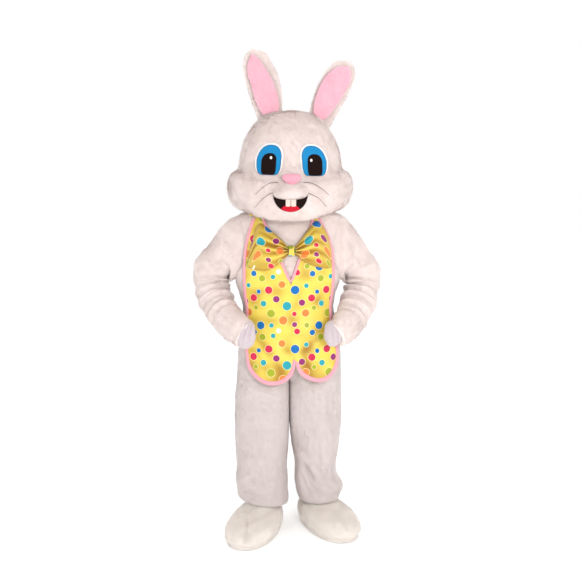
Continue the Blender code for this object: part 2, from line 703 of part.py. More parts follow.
def make_foot(side_name, place, plush, sole):
    table = counted(FOOT)

    def surface(turn, key):
        return foot_point(between(table, key), place, turn)

    turns = spaced(0, 2 * math.pi, FOOT_CELLS)
    panel("foot_cover_" + side_name, surface, turns, list(range(len(FOOT))), plush, PLUSH)
    floor, lip = FOOT[0]._replace(height=0.0), FOOT[0]._replace(height=SOLE)
    levels = []
    for ring, shrink in ((lip, 0.0), (floor, 0.003)):
        turns = [math.pi * t for t in spaced(0, 1, FOOT_CELLS // 2)]
        near = [foot_point(ring, place, turn, shrink) for turn in turns]
        far = [foot_point(ring, place, -turn, shrink) for turn in turns]
        levels.append(near + far)
    solid_between("sole_" + side_name, [(FOOT_CELLS // 2 + 1, levels[0], levels[1])], sole)


def make_head(finish):
    top, quarter, tuck = len(HEAD) - 1, HEAD_CELLS // 4, 2
    step = 2 * math.pi / HEAD_CELLS

    def part(name, first, last, start, end, parted):
        turns = [step * k for k in range(start, end + 1)]
        grid = grid_of(head_point, turns, list(range(first, last + 1)), HEAD_CORE, parted)
        if last == top:
            pull = math.copysign(SEAM_GAP / 2, math.sin((turns[0] + turns[-1]) / 2))
            columns, points, normals = grid
            for k in range(len(points) - columns, len(points)):
                points[k], normals[k] = Vector((0, -pull, HEAD[-1].height)), Vector((0, 0, 1))
        return walled(name, [grid], finish, HEAD_FOAM)

    return [
        part("head_crown_front", CREASE_RING, top, 0, 2 * quarter, "left right low"),
        part("head_crown_back", CREASE_RING, top, 2 * quarter, 4 * quarter, "left right low"),
        part("head_cheek_right", 0, CREASE_RING, -tuck, quarter, "left right high"),
        part("head_cheek_left", 0, CREASE_RING, quarter, 2 * quarter + tuck, "left right high"),
        part("head_nape", 0, CREASE_RING, 2 * quarter + tuck, 4 * quarter - tuck, "left right high"),
    ]


class Target:
    """Finished pieces, to find where a line meets them."""

    def __init__(self, pieces):
        spots, faces = [], []
        for piece in pieces:
            first = len(spots)
            spots += [v.co.copy() for v in piece.data.vertices]
            faces += [[first + k for k in p.vertices] for p in piece.data.polygons]
        self.tree = BVHTree.FromPolygons(spots, faces)

    def hit(self, start, direction):
        return self.tree.ray_cast(start, direction)[0]

    def front(self, x, height, out=0.0):
        return self.hit(Vector((x, -1.0, height)), Vector((0, 1, 0))) - Vector((0, out, 0))


def make_ear(side_name, stations, side, head, plush, lining):
    """A padded blade whose foot follows the crown, and the lining on its front."""
    path = Path(stations, side)
    spread = [math.sin(math.pi / 2 * t) for t in spaced(-1, 1, EAR_COLUMNS)]

    def blade(column, along, front):
        centre, inner, ahead = path.frame(along)
        across, deep = path.sizes(along)
        edge = math.sqrt(max(0.0, 1 - column * column))
        depth = deep * (0.55 * edge - 0.35 * edge**3) if front else -deep * edge**0.8
        return centre + inner * side * across * column + ahead * depth

    middle = EAR_ROWS // 2
    sides = []
    for front in (True, False):
        steps = [path.length * (1 - (1 - t) ** 1.4) for t in spaced(0, 1, EAR_ROWS)]
        rows = [[blade(c, along, front) for c in spread] for along in steps]
        for c in range(len(spread)):
            down = (rows[0][c] - rows[middle][c]).normalized()
            foot = head.hit(rows[middle][c], down) - down * 0.0027
            for r in range(middle):
                rows[r][c] = foot.lerp(rows[middle][c], r / middle)
        sides.append(rows)
    outer, inner = ([p for row in rows for p in row] for rows in sides)
    ear = solid_between("ear_" + side_name, [(len(spread), outer, inner)], plush)
    surface, face, back = Target([ear]), [], []
    for height in spaced(0.9, EAR_ROWS - 0.6, 7):
        i = int(height)
        taper = min(1.0, (EAR_ROWS - height) / 2.2) ** 0.5
        for c in spaced(-LINING_SHARE, LINING_SHARE, 5):
            column = (math.asin(c * taper) / math.pi * 2 + 1) / 2 * EAR_COLUMNS
            j = int(column)
            low = sides[0][i][j].lerp(sides[0][i][j + 1], column - j)
            high = sides[0][i + 1][j].lerp(sides[0][i + 1][j + 1], column - j)
            spot = low.lerp(high, height - i)
            face.append(surface.front(spot.x, spot.z, 0.0036))
            back.append(surface.front(spot.x, spot.z, 0.0008))
    solid_between("ear_lining_" + side_name, [(6, face, back)], lining)


def draped(name, grids, lift, wall, finish):
    """A layer on the suit's front, from grids of (x, height) spots."""
    patches = []
    for columns, spots in grids:
        outer = [drape_point(x, z, lift) for x, z in spots]
        inner = [drape_point(x, z, lift - wall) for x, z in spots]
        patches.append((columns, outer, inner))
    return solid_between(name, patches, finish)


def v_spot(height, right, out=0.0):
    """The V neck's edge at a height, moved out into the vest."""
    corner, way = (V_RIGHT, 1) if right else (V_LEFT, -1)
    share = (height - V_LOW[1]) / (corner[1] - V_LOW[1])
    return (V_LOW[0] + (corner[0] - V_LOW[0]) * share + way * out, height)


def vest_side(height, right):
    row = between(VEST, height)
    return (row.right if right else row.left, height)


def hem_spots(right):
    """One lobe of the hem, from the side edge round its low point to the notch."""
    low = RIGHT_LOBE if right else LEFT_LOBE
    side = vest_side(SIDE_END, right)[0]
    spots = []
    for turn in spaced(0, math.pi, LOBE_CELLS):
        reach, top = (side - low[0], SIDE_END) if turn <= math.pi / 2 else (low[0] - NOTCH[0], NOTCH[1])
        spots.append((low[0] + reach * math.cos(turn), top - (top - low[1]) * math.sin(turn)))
    return spots


def inset(line, distance):
    """A line of (x, height) spots, moved to the left of its run."""
    moved = []
    for i, spot in enumerate(line):
        a, b = line[max(0, i - 1)], line[min(len(line) - 1, i + 1)]
        run = Vector((b[0] - a[0], b[1] - a[1])).normalized()
        moved.append((spot[0] - run.y * distance, spot[1] + run.x * distance))
    return moved


def vest_edge():
    """The vest's outer edge: down the left side, round both lobes of the hem and up the right side."""
    levels = (VEST_LEVELS + VEST_TOP_LEVELS)[1:]
    left = [vest_side(level, False) for level in levels[::-1]]
    right = [vest_side(level, True) for level in levels]
    return left + hem_spots(False) + hem_spots(True)[::-1][1:] + right


def make_vest(satin, pink):
    edge = vest_edge()
    inner_edge, panel_edge = inset(edge, BINDING), inset(edge, BINDING + SEAM_GAP)
    levels = VEST_LEVELS + VEST_TOP_LEVELS
    rise, mitre = len(levels) - 1, V_LOW[1] - V_MITRE
    v_out = V_MITRE * (V_RIGHT[0] - V_LEFT[0]) / 2 / (V_RIGHT[1] - V_LOW[1])
    halves = []
    for right in (False, True):
        line = panel_edge[::-1] if right else panel_edge
        side, hem = line[: rise + 1][::-1], line[rise : rise + LOBE_CELLS + 1]
        notch = panel_edge[rise + LOBE_CELLS]
        middle = []
        for level in levels:
            if level <= mitre + 1e-6:
                share = (level - levels[0]) / (mitre - levels[0])
                spot = (mix(notch[0], V_LOW[0], share), mix(notch[1], mitre, share))
            else:
                spot = v_spot(level, right, v_out + SEAM_GAP)
            middle.append(spot)
        spots = []
        for row in range(len(levels)):
            fade = max(0.0, 1 - row / 3) ** 2
            for c in range(LOBE_CELLS + 1):
                share = c / LOBE_CELLS
                spot = []
                for axis in (0, 1):
                    straight = mix(side[0][axis], middle[0][axis], share)
                    sag = (hem[c][axis] - straight) * fade
                    spot.append(mix(side[row][axis], middle[row][axis], share) + sag)
                spots.append(tuple(spot))
        halves.append((LOBE_CELLS + 1, spots))
    draped("vest_front", halves, VEST_LIFT, SATIN, satin)
    strip = []
    for a, b in zip(edge, inner_edge):
        strip += [a, ((a[0] + b[0]) / 2, (a[1] + b[1]) / 2), b]
    draped("vest_binding_edge", [(3, strip)], BINDING_LIFT, BINDING_WALL, pink)
    strip = []
    tops = [level for level in VEST_TOP_LEVELS]
    for level in tops[::-1]:
        strip += [v_spot(level, False), v_spot(level, False, v_out)]
    strip += [V_LOW, (V_LOW[0], mitre)]
    for level in tops:
        strip += [v_spot(level, True), v_spot(level, True, v_out)]
    draped("vest_binding_neck", [(2, strip)], BINDING_LIFT, BINDING_WALL, pink)

    def strap(share, place):
        row = between(STRAP, place)
        turn = math.radians(mix(row.outer_turn, row.inner_turn, share))
        return ring_point(between(NUMBERED_BODY, mix(row.outer_ring, row.inner_ring, share)), turn)

    columns, points, normals = grid_of(strap, [0, 0.5, 1], spaced(0, 1, STRAP_ROWS), Vector((0, 0, 1.2)), "low high")
    raised = [p + n * STRAP_LIFT for p, n in zip(points, normals)]
    walled("vest_strap", [(columns, raised, normals)], satin, SATIN)


def make_bow(satin):
    for name, table in (("bow_loop_right", RIGHT_LOOP), ("bow_loop_left", LEFT_LOOP)):
        front, back = [], []
        for place in spaced(0, 6, 9):
            step = between(table, place)
            for w in [math.sin(math.pi / 2 * t) for t in spaced(-1, 1, 8)]:
                z = mix(step.bottom, step.top, (w + 1) / 2)
                edge = math.sqrt(max(0.0, 1 - w * w))
                pleat = 0.0035 * math.cos(3.2 * math.pi * w) * edge * math.sin(math.pi * min(1.0, place / 5))
                front.append(drape_point(step.x, z, BOW_BACK + step.puff * edge + pleat))
                back.append(drape_point(step.x, z, BOW_BACK))
        solid_between(name, [(9, front, back)], satin)
    front, back = [], []
    for b in [math.sin(math.pi / 2 * t) for t in spaced(-1, 1, 6)]:
        for a in spaced(-1, 1, 4):
            x, z = KNOT[0] + KNOT_HALF * a, KNOT[1] + KNOT_TALL * b
            round_off = (1 - 0.25 * a * a) * math.sqrt(max(0.0, 1 - b * b))
            front.append(drape_point(x, z, BOW_BACK + KNOT_PUFF * round_off))
            back.append(drape_point(x, z, BOW_BACK))
    solid_between("bow_knot", [(5, front, back)], satin)


def disc(name, target, centre, outline, rings, cells, low, high, finish, puff=0.0, hang=0.0, foremost=0.0):
    """A round patch on the front of what is there, from an outline about its centre, domed by puff.

    foremost bridges hollows: no point of the back lies behind that y.
    """
    outer, inner = [], []
    for share in spaced(0, 1, rings):
        for turn in spaced(0, 2 * math.pi, cells):
            dx, dz = outline(turn % (2 * math.pi)) if share else (0, 0)
            x, z = centre[0] + dx * share, centre[1] + dz * share
            dome = puff * math.sqrt(max(0.0, 1 - share**2.2)) * (1 - hang * dz * share)
            spot = target.front(x, z)
            spot.y = min(spot.y, foremost)
            inner.append(spot - Vector((0, low, 0)))
            outer.append(spot - Vector((0, high + dome, 0)))
    return solid_between(name, [(cells + 1, outer, inner)], finish)


def oval(half, up, down, power=1.0):
    """An outline about a centre, as a function of the turn."""

    def outline(turn):
        side, rise = math.cos(turn), math.sin(turn)
        return half * signed_power(side, power), (up if rise > 0 else down) * signed_power(rise, power)

    return outline


def muzzle_low(x):
    """The height of the muzzle's lower edge at x."""
    share = min(1.0, abs(x - MUZZLE[0]) / MUZZLE_HALF)
    return MUZZLE[1] - MUZZLE_TALL * math.sqrt(max(0.0, 1 - share ** (2 / 0.72))) ** 0.72


def strip_patch(name, target, xs, top, low, near, far, finish):
    """A patch between an upper and a lower edge, both given as heights at x."""
    outer, inner = [], []
    for share in (0, 0.5, 1):
        for x in xs:
            z = mix(top(x), low(x), share)
            outer.append(target.front(x, z, far))
            inner.append(target.front(x, z, near))
    return solid_between(name, [(len(xs), outer, inner)], finish)


def make_face(head, plush, finishes):
    skull = Target(head)
    for side_name, centre in (("left", LEFT_EYE), ("right", RIGHT_EYE)):
        rim = oval(EYE_HALF + EYE_RIM, EYE_UP + EYE_RIM, EYE_DOWN, 0.8)
        disc("eye_white_" + side_name, skull, centre, rim, 2, 16, 0.0028, 0.0038, finishes["white"])
        blue = oval(EYE_HALF, EYE_UP, EYE_DOWN, 0.8)
        disc("eye_blue_" + side_name, skull, centre, blue, 2, 16, 0.0050, 0.0060, finishes["blue"])
        pupil = (centre[0], centre[1] - 0.001)
        black = oval(PUPIL_HALF, PUPIL_UP, PUPIL_DOWN, 0.8)
        disc("pupil_" + side_name, skull, pupil, black, 2, 12, 0.0079, 0.0089, finishes["black"])
        light = (centre[0] + (0.007 if centre[0] < 0 else -0.014), centre[1] + 0.004)
        shine = oval(0.006, 0.006, 0.006)
        disc("eye_light_" + side_name, skull, light, shine, 1, 8, 0.0097, 0.0105, finishes["white"])
    muzzle = disc(
        "muzzle", skull, MUZZLE, oval(MUZZLE_HALF, MUZZLE_TALL, MUZZLE_TALL, 0.72), 4, 16, 0.0024, 0.0026,
        plush, MUZZLE_PUFF, 9.0,
    )
    snout = Target(head + [muzzle])
    disc("nose", snout, NOSE, oval(NOSE_HALF, NOSE_TALL, NOSE_TALL, 0.85), 3, 12, 0.0030, 0.0040,
         finishes["pink"], 0.013, foremost=-0.238)
    xs = [MUZZLE[0] + MOUTH_HALF * math.sin(math.pi / 2 * t) for t in spaced(-1, 1, 12)]

    def lip(x):
        return muzzle_low(x) - 0.001

    def chin(x):
        share = (x - MUZZLE[0]) / MOUTH_HALF
        return min(lip(x) - 0.002, mix(lip(x), MOUTH_LOW, max(0.0, 1 - share * share) ** 0.6))

    strip_patch("mouth", skull, xs, lip, chin, 0.0026, 0.0036, finishes["black"])
    xs = [MUZZLE[0] + TONGUE_HALF * math.sin(math.pi / 2 * t) for t in spaced(-1, 1, 8)]

    def tongue_top(x):
        return TONGUE_TOP - 0.012 * ((x - MUZZLE[0]) / TONGUE_HALF) ** 4

    def tongue_low(x):
        return tongue_top(x) - 0.001 - (TONGUE_TOP - TONGUE_LOW) * math.sqrt(
            max(0.0, 1 - ((x - MUZZLE[0]) / TONGUE_HALF) ** 2)
        )

    strip_patch("tongue", skull, xs, tongue_top, tongue_low, 0.0044, 0.0056, finishes["red"])
    for name, start, end in TEETH:
        strip_patch(name, skull, spaced(start, end, 2), lip, lambda x: TOOTH_LOW, 0.0064, 0.0084, finishes["white"])
    return snout


def make_whiskers(target, finish):
    for whisker in WHISKERS:
        line = [target.front(x, z, 0.0022 + 0.005 * min(i, 2)) for i, (x, z) in enumerate(whisker.spots)]
        upper, lower = [], []
        for i, spot in enumerate(line):
            run = (line[min(i + 1, len(line) - 1)] - line[max(i - 1, 0)]).normalized()
            side = run.cross(Vector((0, 1, 0))).normalized()
            front = run.cross(side)
            for k in range(4):
                turn = math.pi * k / 3
                reach = side * math.cos(turn) * WHISKER_RADIUS
                rise = front * math.sin(turn) * WHISKER_RADIUS
                upper.append(spot + reach + rise)
                lower.append(spot + reach - rise)
        solid_between(whisker.name, [(4, upper, lower)], finish)


def clear_scene():
    for thing in list(bpy.data.objects):
        bpy.data.objects.remove(thing)


def make_all():
    plush = material("plush", (0.86, 0.78, 0.75), 0.95)
    fleece = material("mitt_fleece", (0.78, 0.70, 0.74), 0.9)
    sole = material("sole_cloth", (0.74, 0.70, 0.66), 0.9)
    pink = material("pink_plush", (0.95, 0.50, 0.60), 0.9)
    satin = material("dotted_satin", (0.95, 0.75, 0.15), 0.4)
    binding = material("pink_satin", (0.88, 0.45, 0.50), 0.45)
    felts = {
        "white": material("white_felt", (0.80, 0.78, 0.76), 0.8),
        "blue": material("blue_felt", (0.02, 0.23, 0.53), 0.6),
        "black": material("black_felt", (0.02, 0.012, 0.01), 0.7),
        "red": material("red_felt", (0.52, 0.02, 0.04), 0.8),
        "pink": pink,
    }
    make_body(plush)
    make_sleeve("sleeve_right", RIGHT_ARM, RIGHT_SLEEVE_FOLDS, 1, plush)
    make_sleeve("sleeve_left", LEFT_ARM, LEFT_SLEEVE_FOLDS, -1, plush)
    make_mitt("mitt_right", RIGHT_MITT, 1, fleece)
    make_mitt("mitt_left", LEFT_MITT, -1, fleece)
    make_leg("leg_right", 1, RIGHT_LEG, RIGHT_LEG_FOLDS, plush)
    make_leg("leg_left", -1, LEFT_LEG, LEFT_LEG_FOLDS, plush)
    make_foot("right", RIGHT_FOOT, plush, sole)
    make_foot("left", LEFT_FOOT, plush, sole)
    head = make_head(plush)
    crown = Target(head)
    make_ear("right", RIGHT_EAR, 1, crown, plush, pink)
    make_ear("left", LEFT_EAR, -1, crown, plush, pink)
    make_vest(satin, binding)
    make_bow(satin)
    face = make_face(head, plush, felts)
    make_whiskers(face, felts["black"])


clear_scene()
COSTUME = bpy.data.collections.new("rabbit_mascot_costume")
bpy.context.scene.collection.children.link(COSTUME)
FLOOR = bpy.data.objects.new("floor_level", None)
FLOOR.location = (0, 0, -SHOULDER_HEIGHT)
COSTUME.objects.link(FLOOR)
make_all()
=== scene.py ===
"""A rabbit mascot costume: plush suit, fleece mitts, printed satin vest and bow, foam head with a felt face.

Metres, +Z up, the front faces -Y and +X is the viewer's right. Heights in the tables count from the floor.
"""

import math
from collections import namedtuple

import bmesh
import bpy
import numpy as np
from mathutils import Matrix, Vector
from mathutils.bvhtree import BVHTree


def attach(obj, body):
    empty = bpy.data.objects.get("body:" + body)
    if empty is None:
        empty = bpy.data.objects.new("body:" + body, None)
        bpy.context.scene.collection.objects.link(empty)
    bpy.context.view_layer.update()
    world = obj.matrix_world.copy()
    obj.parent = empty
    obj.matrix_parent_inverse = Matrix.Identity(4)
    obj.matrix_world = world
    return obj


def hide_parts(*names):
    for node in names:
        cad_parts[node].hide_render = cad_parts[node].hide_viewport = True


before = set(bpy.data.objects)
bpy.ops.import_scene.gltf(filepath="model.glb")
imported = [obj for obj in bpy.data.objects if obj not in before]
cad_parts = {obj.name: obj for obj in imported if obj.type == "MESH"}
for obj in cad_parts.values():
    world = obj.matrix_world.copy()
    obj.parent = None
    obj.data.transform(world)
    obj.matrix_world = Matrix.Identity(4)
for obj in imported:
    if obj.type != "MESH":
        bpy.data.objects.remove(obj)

SHOULDER_HEIGHT = 1.30
SEAM_GAP = 0.0003


def rows(kind, table):
    return [kind(*row) for row in table]


# The suit's body from hip seam to neck edge, as level rings. A power under 1 squares a ring off.
BodyRing = namedtuple("BodyRing", "height half_width front back centre power")
BODY = rows(BodyRing, [
    (0.800, 0.212, 0.130, 0.128, -0.003, 0.80), (0.860, 0.200, 0.126, 0.118, -0.006, 0.82),
    (0.915, 0.193, 0.123, 0.112, -0.008, 0.84), (0.965, 0.201, 0.126, 0.114, -0.010, 0.85),
    (1.030, 0.221, 0.133, 0.122, -0.010, 0.86), (1.120, 0.227, 0.138, 0.130, -0.007, 0.86),
    (1.200, 0.226, 0.132, 0.130, -0.004, 0.88), (1.260, 0.222, 0.118, 0.120, -0.002, 0.92),
    (1.304, 0.212, 0.101, 0.106, 0.0, 0.96), (1.321, 0.170, 0.092, 0.098, 0.0, 1.0),
    (1.332, 0.137, 0.086, 0.091, 0.0, 1.0), (1.347, 0.120, 0.083, 0.087, 0.0, 1.0),
    (1.372, 0.114, 0.081, 0.084, 0.0, 1.0),
])
HIP_SEAM, ARMPIT, SHOULDER_POINT, NECK_EDGE = 0.800, 1.030, 1.304, 1.372
ARMHOLE_ANGLE = math.radians(36)

# The head's plush outline, rim to crown. The drops lower a ring at the front and at the back.
HeadRing = namedtuple("HeadRing", "height half_width front back front_drop back_drop")
HEAD = rows(HeadRing, [
    (1.3380, 0.140, 0.092, 0.097, 0.000, 0.000), (1.3180, 0.188, 0.172, 0.152, 0.043, 0.009),
    (1.3320, 0.229, 0.208, 0.175, 0.042, 0.008), (1.3570, 0.250, 0.228, 0.190, 0.033, 0.006),
    (1.3860, 0.2605, 0.240, 0.197, 0.028, 0.0), (1.4200, 0.2635, 0.244, 0.201, 0.028, 0.0),
    (1.4500, 0.2585, 0.240, 0.203, 0.030, 0.0), (1.4740, 0.2430, 0.226, 0.204, 0.034, 0.0),
    (1.4900, 0.2205, 0.204, 0.205, 0.038, 0.0), (1.5100, 0.2150, 0.197, 0.206, 0.034, 0.0),
    (1.5450, 0.2100, 0.195, 0.205, 0.018, 0.0), (1.5800, 0.2010, 0.189, 0.198, 0.006, 0.0),
    (1.6130, 0.1890, 0.177, 0.187, 0.0, 0.0), (1.6440, 0.1720, 0.160, 0.170, 0.0, 0.0),
    (1.6740, 0.1500, 0.138, 0.148, 0.0, 0.0), (1.7010, 0.1190, 0.108, 0.116, 0.0, 0.0),
    (1.7210, 0.0770, 0.069, 0.074, 0.0, 0.0), (1.7310, 0.0, 0.0, 0.0, 0.0, 0.0),
])
HEAD_POWER = 0.93
HEAD_CELLS = 28
CREASE_RING = 8
HEAD_CORE = Vector((0, 0, 1.50))

# Arm, mitt and ear centrelines. across is the half width seen from the front, deep the half thickness.
Station = namedtuple("Station", "x y z across deep")
RIGHT_ARM = rows(Station, [
    (0.180, 0.000, 1.187, 0.136, 0.094), (0.218, 0.006, 1.171, 0.128, 0.094),
    (0.256, 0.014, 1.134, 0.097, 0.090), (0.294, 0.022, 1.079, 0.082, 0.084),
    (0.304, 0.020, 1.010, 0.077, 0.080), (0.286, -0.012, 0.944, 0.076, 0.074),
    (0.254, -0.080, 0.887, 0.071, 0.063), (0.224, -0.134, 0.849, 0.065, 0.054),
    (0.200, -0.153, 0.833, 0.058, 0.048),
])
LEFT_ARM = rows(Station, [
    (-0.186, 0.000, 1.190, 0.142, 0.094), (-0.234, 0.006, 1.176, 0.138, 0.094),
    (-0.277, 0.014, 1.138, 0.101, 0.090), (-0.318, 0.022, 1.079, 0.087, 0.084),
    (-0.329, 0.020, 1.010, 0.080, 0.080), (-0.310, -0.012, 0.947, 0.073, 0.074),
    (-0.266, -0.086, 0.890, 0.069, 0.061), (-0.220, -0.140, 0.852, 0.066, 0.053),
    (-0.195, -0.157, 0.834, 0.062, 0.047),
])
ARMHOLE_BLEND = 0.15

# Creases in the cloth. along is metres down the piece, around is degrees from the inner side by the front.
Fold = namedtuple("Fold", "along around reach width height slant")
RIGHT_SLEEVE_FOLDS = rows(Fold, [
    (0.085, 120, 50, 0.016, 0.005, 0.030), (0.120, 90, 55, 0.014, -0.006, 0.040),
    (0.155, 100, 60, 0.015, 0.006, 0.034), (0.195, 50, 60, 0.011, -0.008, 0.020),
    (0.222, 30, 95, 0.011, 0.006, 0.006), (0.246, 20, 100, 0.010, -0.008, 0.002),
    (0.270, 30, 110, 0.011, 0.006, 0.0), (0.294, 10, 110, 0.010, -0.008, -0.002),
    (0.320, 20, 110, 0.012, 0.006, -0.004), (0.346, 30, 100, 0.010, -0.006, -0.006),
    (0.372, 60, 90, 0.012, 0.004, -0.008), (0.400, 120, 70, 0.011, -0.005, -0.010),
])
LEFT_SLEEVE_FOLDS = rows(Fold, [
    (0.080, 100, 50, 0.016, 0.005, 0.034), (0.118, 80, 50, 0.013, -0.006, 0.042),
    (0.150, 95, 60, 0.014, 0.007, 0.046), (0.200, 40, 60, 0.011, -0.009, 0.016),
    (0.226, 20, 90, 0.011, 0.006, 0.004), (0.252, 10, 105, 0.010, -0.009, 0.0),
    (0.280, 20, 110, 0.012, 0.007, -0.002), (0.308, 10, 100, 0.010, -0.008, -0.004),
    (0.338, 30, 95, 0.012, 0.005, -0.006), (0.368, 40, 90, 0.011, -0.005, -0.010),
    (0.402, 80, 80, 0.013, 0.004, -0.014),
])

# Trouser legs from hip seam to hem. inner and outer are distances from the suit's middle line.
LegRing = namedtuple("LegRing", "height inner outer middle deep")
RIGHT_LEG = rows(LegRing, [
    (0.800, 0.0, 0.212, 0.0, 0.130), (0.700, 0.0, 0.220, 0.0, 0.126), (0.600, 0.0, 0.2215, 0.002, 0.119),
    (0.520, 0.0, 0.222, 0.004, 0.114), (0.430, 0.002, 0.223, 0.003, 0.110),
    (0.340, 0.008, 0.216, 0.000, 0.107), (0.255, 0.020, 0.203, -0.003, 0.104),
    (0.205, 0.020, 0.206, -0.004, 0.102), (0.160, 0.020, 0.230, -0.005, 0.100),
    (0.130, 0.026, 0.230, -0.006, 0.100), (0.101, 0.037, 0.216, -0.006, 0.099),
])
LEFT_LEG = rows(LegRing, [
    (0.800, 0.0, 0.212, 0.0, 0.130), (0.700, 0.0, 0.219, 0.0, 0.126), (0.600, 0.0, 0.226, -0.004, 0.119),
    (0.520, 0.0, 0.231, -0.010, 0.114), (0.430, 0.002, 0.233, -0.018, 0.112),
    (0.340, 0.004, 0.231, -0.027, 0.110), (0.255, 0.010, 0.224, -0.036, 0.107),
    (0.205, 0.007, 0.225, -0.042, 0.106), (0.160, 0.007, 0.228, -0.046, 0.105),
    (0.125, 0.003, 0.222, -0.050, 0.104), (0.1085, 0.004, 0.211, -0.052, 0.102),
])
HEM_SLANT = {1: 0.002, -1: 0.010}
CROTCH, FORK_HEIGHT = 0.600, 0.115
SUIT_MIDDLE = -0.003
RIGHT_LEG_FOLDS = rows(Fold, [
    (0.36, 130, 30, 0.060, -0.006, 0.12), (0.50, 70, 42, 0.024, -0.007, 0.10),
    (0.550, 85, 44, 0.024, 0.006, 0.10), (0.600, 90, 46, 0.022, -0.008, 0.09),
    (0.668, 110, 90, 0.016, -0.006, 0.02),
])
LEFT_LEG_FOLDS = rows(Fold, [
    (0.44, 120, 34, 0.070, -0.005, 0.12), (0.610, 150, 60, 0.024, 0.005, -0.02),
    (0.658, 110, 80, 0.018, -0.006, -0.015),
])

# Foot covers: a long egg seen from above, sunk towards the ankle. heel and toe count from the heel's end.
FootRing = namedtuple("FootRing", "height heel toe width")
FOOT = rows(FootRing, [
    (0.0113, 0.006, 0.402, 0.188), (0.0300, 0.000, 0.417, 0.205), (0.0520, 0.001, 0.409, 0.206),
    (0.0680, 0.006, 0.380, 0.198), (0.0790, 0.016, 0.330, 0.182), (0.0870, 0.026, 0.276, 0.164),
    (0.0930, 0.034, 0.222, 0.144), (0.1110, 0.040, 0.192, 0.130), (0.1600, 0.042, 0.188, 0.128),
])
ANKLE_FROM_HEEL = 0.115
SOLE, SOLE_INSET = 0.011, 0.007
FootPlace = namedtuple("FootPlace", "x y turn")
RIGHT_FOOT = FootPlace(0.120, -0.004, 23.0)
LEFT_FOOT = FootPlace(-0.115, -0.064, -16.0)

# Mitts: a fist closed over the hip, with a gauntlet up inside the sleeve.
RIGHT_MITT = rows(Station, [
    (0.228, -0.126, 0.854, 0.039, 0.032), (0.200, -0.153, 0.833, 0.040, 0.034),
    (0.182, -0.160, 0.829, 0.0482, 0.038), (0.165, -0.163, 0.826, 0.053, 0.040),
    (0.150, -0.163, 0.825, 0.045, 0.036), (0.141, -0.162, 0.824, 0.028, 0.024),
    (0.137, -0.161, 0.824, 0.0, 0.0),
])
LEFT_MITT = rows(Station, [
    (-0.224, -0.132, 0.857, 0.041, 0.032), (-0.195, -0.157, 0.834, 0.0509, 0.0390),
    (-0.179, -0.163, 0.826, 0.0589, 0.0430), (-0.165, -0.165, 0.821, 0.057, 0.040),
    (-0.152, -0.165, 0.819, 0.049, 0.036), (-0.143, -0.164, 0.818, 0.031, 0.024),
    (-0.139, -0.163, 0.818, 0.0, 0.0),
])

# Ears: padded blades rising from the crown, with a lining on their front.
RIGHT_EAR = rows(Station, [
    (0.104, 0.022, 1.640, 0.046, 0.020), (0.121, 0.021, 1.700, 0.053, 0.021),
    (0.147, 0.020, 1.762, 0.066, 0.021), (0.178, 0.018, 1.822, 0.072, 0.019),
    (0.209, 0.016, 1.872, 0.066, 0.016), (0.233, 0.015, 1.906, 0.049, 0.012),
    (0.250, 0.015, 1.931, 0.0, 0.0),
])
LEFT_EAR = rows(Station, [
    (-0.070, 0.022, 1.640, 0.048, 0.020), (-0.078, 0.021, 1.705, 0.055, 0.021),
    (-0.094, 0.020, 1.775, 0.070, 0.021), (-0.110, 0.018, 1.845, 0.074, 0.019),
    (-0.133, 0.016, 1.908, 0.067, 0.016), (-0.149, 0.015, 1.955, 0.047, 0.012),
    (-0.157, 0.015, 1.985, 0.0, 0.0),
])

# The vest's sides; its V neck and two-lobed hem are given by their corners as (x, height).
VEST_LIFT = 0.0038
VestEdge = namedtuple("VestEdge", "height left right")
VEST = rows(VestEdge, [
    (0.700, -0.178, 0.202), (0.750, -0.184, 0.201), (0.800, -0.186, 0.192), (0.870, -0.184, 0.177),
    (0.925, -0.184, 0.173), (0.967, -0.190, 0.178), (1.024, -0.193, 0.183), (1.061, -0.193, 0.184),
    (1.122, -0.191, 0.181), (1.169, -0.186, 0.175), (1.216, -0.176, 0.160), (1.262, -0.162, 0.137),
    (1.294, -0.150, 0.121),
])
V_LOW, V_LEFT, V_RIGHT = (0.003, 1.0405), (-0.106, 1.292), (0.090, 1.292)
V_MITRE = 0.027
NOTCH = (0.023, 0.711)
LEFT_LOBE, RIGHT_LOBE = (-0.066, 0.614), (0.121, 0.626)
SIDE_END = 0.722
SKIRT = [
    BodyRing(0.590, 0.2290, 0.146, 0.12, -0.003, 0.80),
    BodyRing(0.660, 0.2280, 0.143, 0.12, -0.003, 0.80),
    BodyRing(0.730, 0.2240, 0.137, 0.12, -0.003, 0.80),
    BODY[0],
    BODY[1],
]
BINDING = 0.010
VEST_TOP = 1.292

# The halter strap round the neck, as edges on the suit's rings: turn is degrees, ring a place between rings.
StrapStep = namedtuple("StrapStep", "place outer_turn outer_ring inner_turn inner_ring")
STRAP = rows(StrapStep, [
    (0.0, 138.0, 7.73, 121.0, 7.73), (0.1, 150.0, 8.55, 130.0, 8.95), (0.2, 172.0, 9.25, 158.0, 10.45),
    (0.5, 270.0, 10.9, 270.0, 11.8), (0.8, 370.0, 9.25, 382.0, 10.45), (0.9, 396.0, 8.55, 409.0, 8.95),
    (1.0, 413.0, 7.73, 424.0, 7.73),
])
STRAP_LIFT = 0.0042

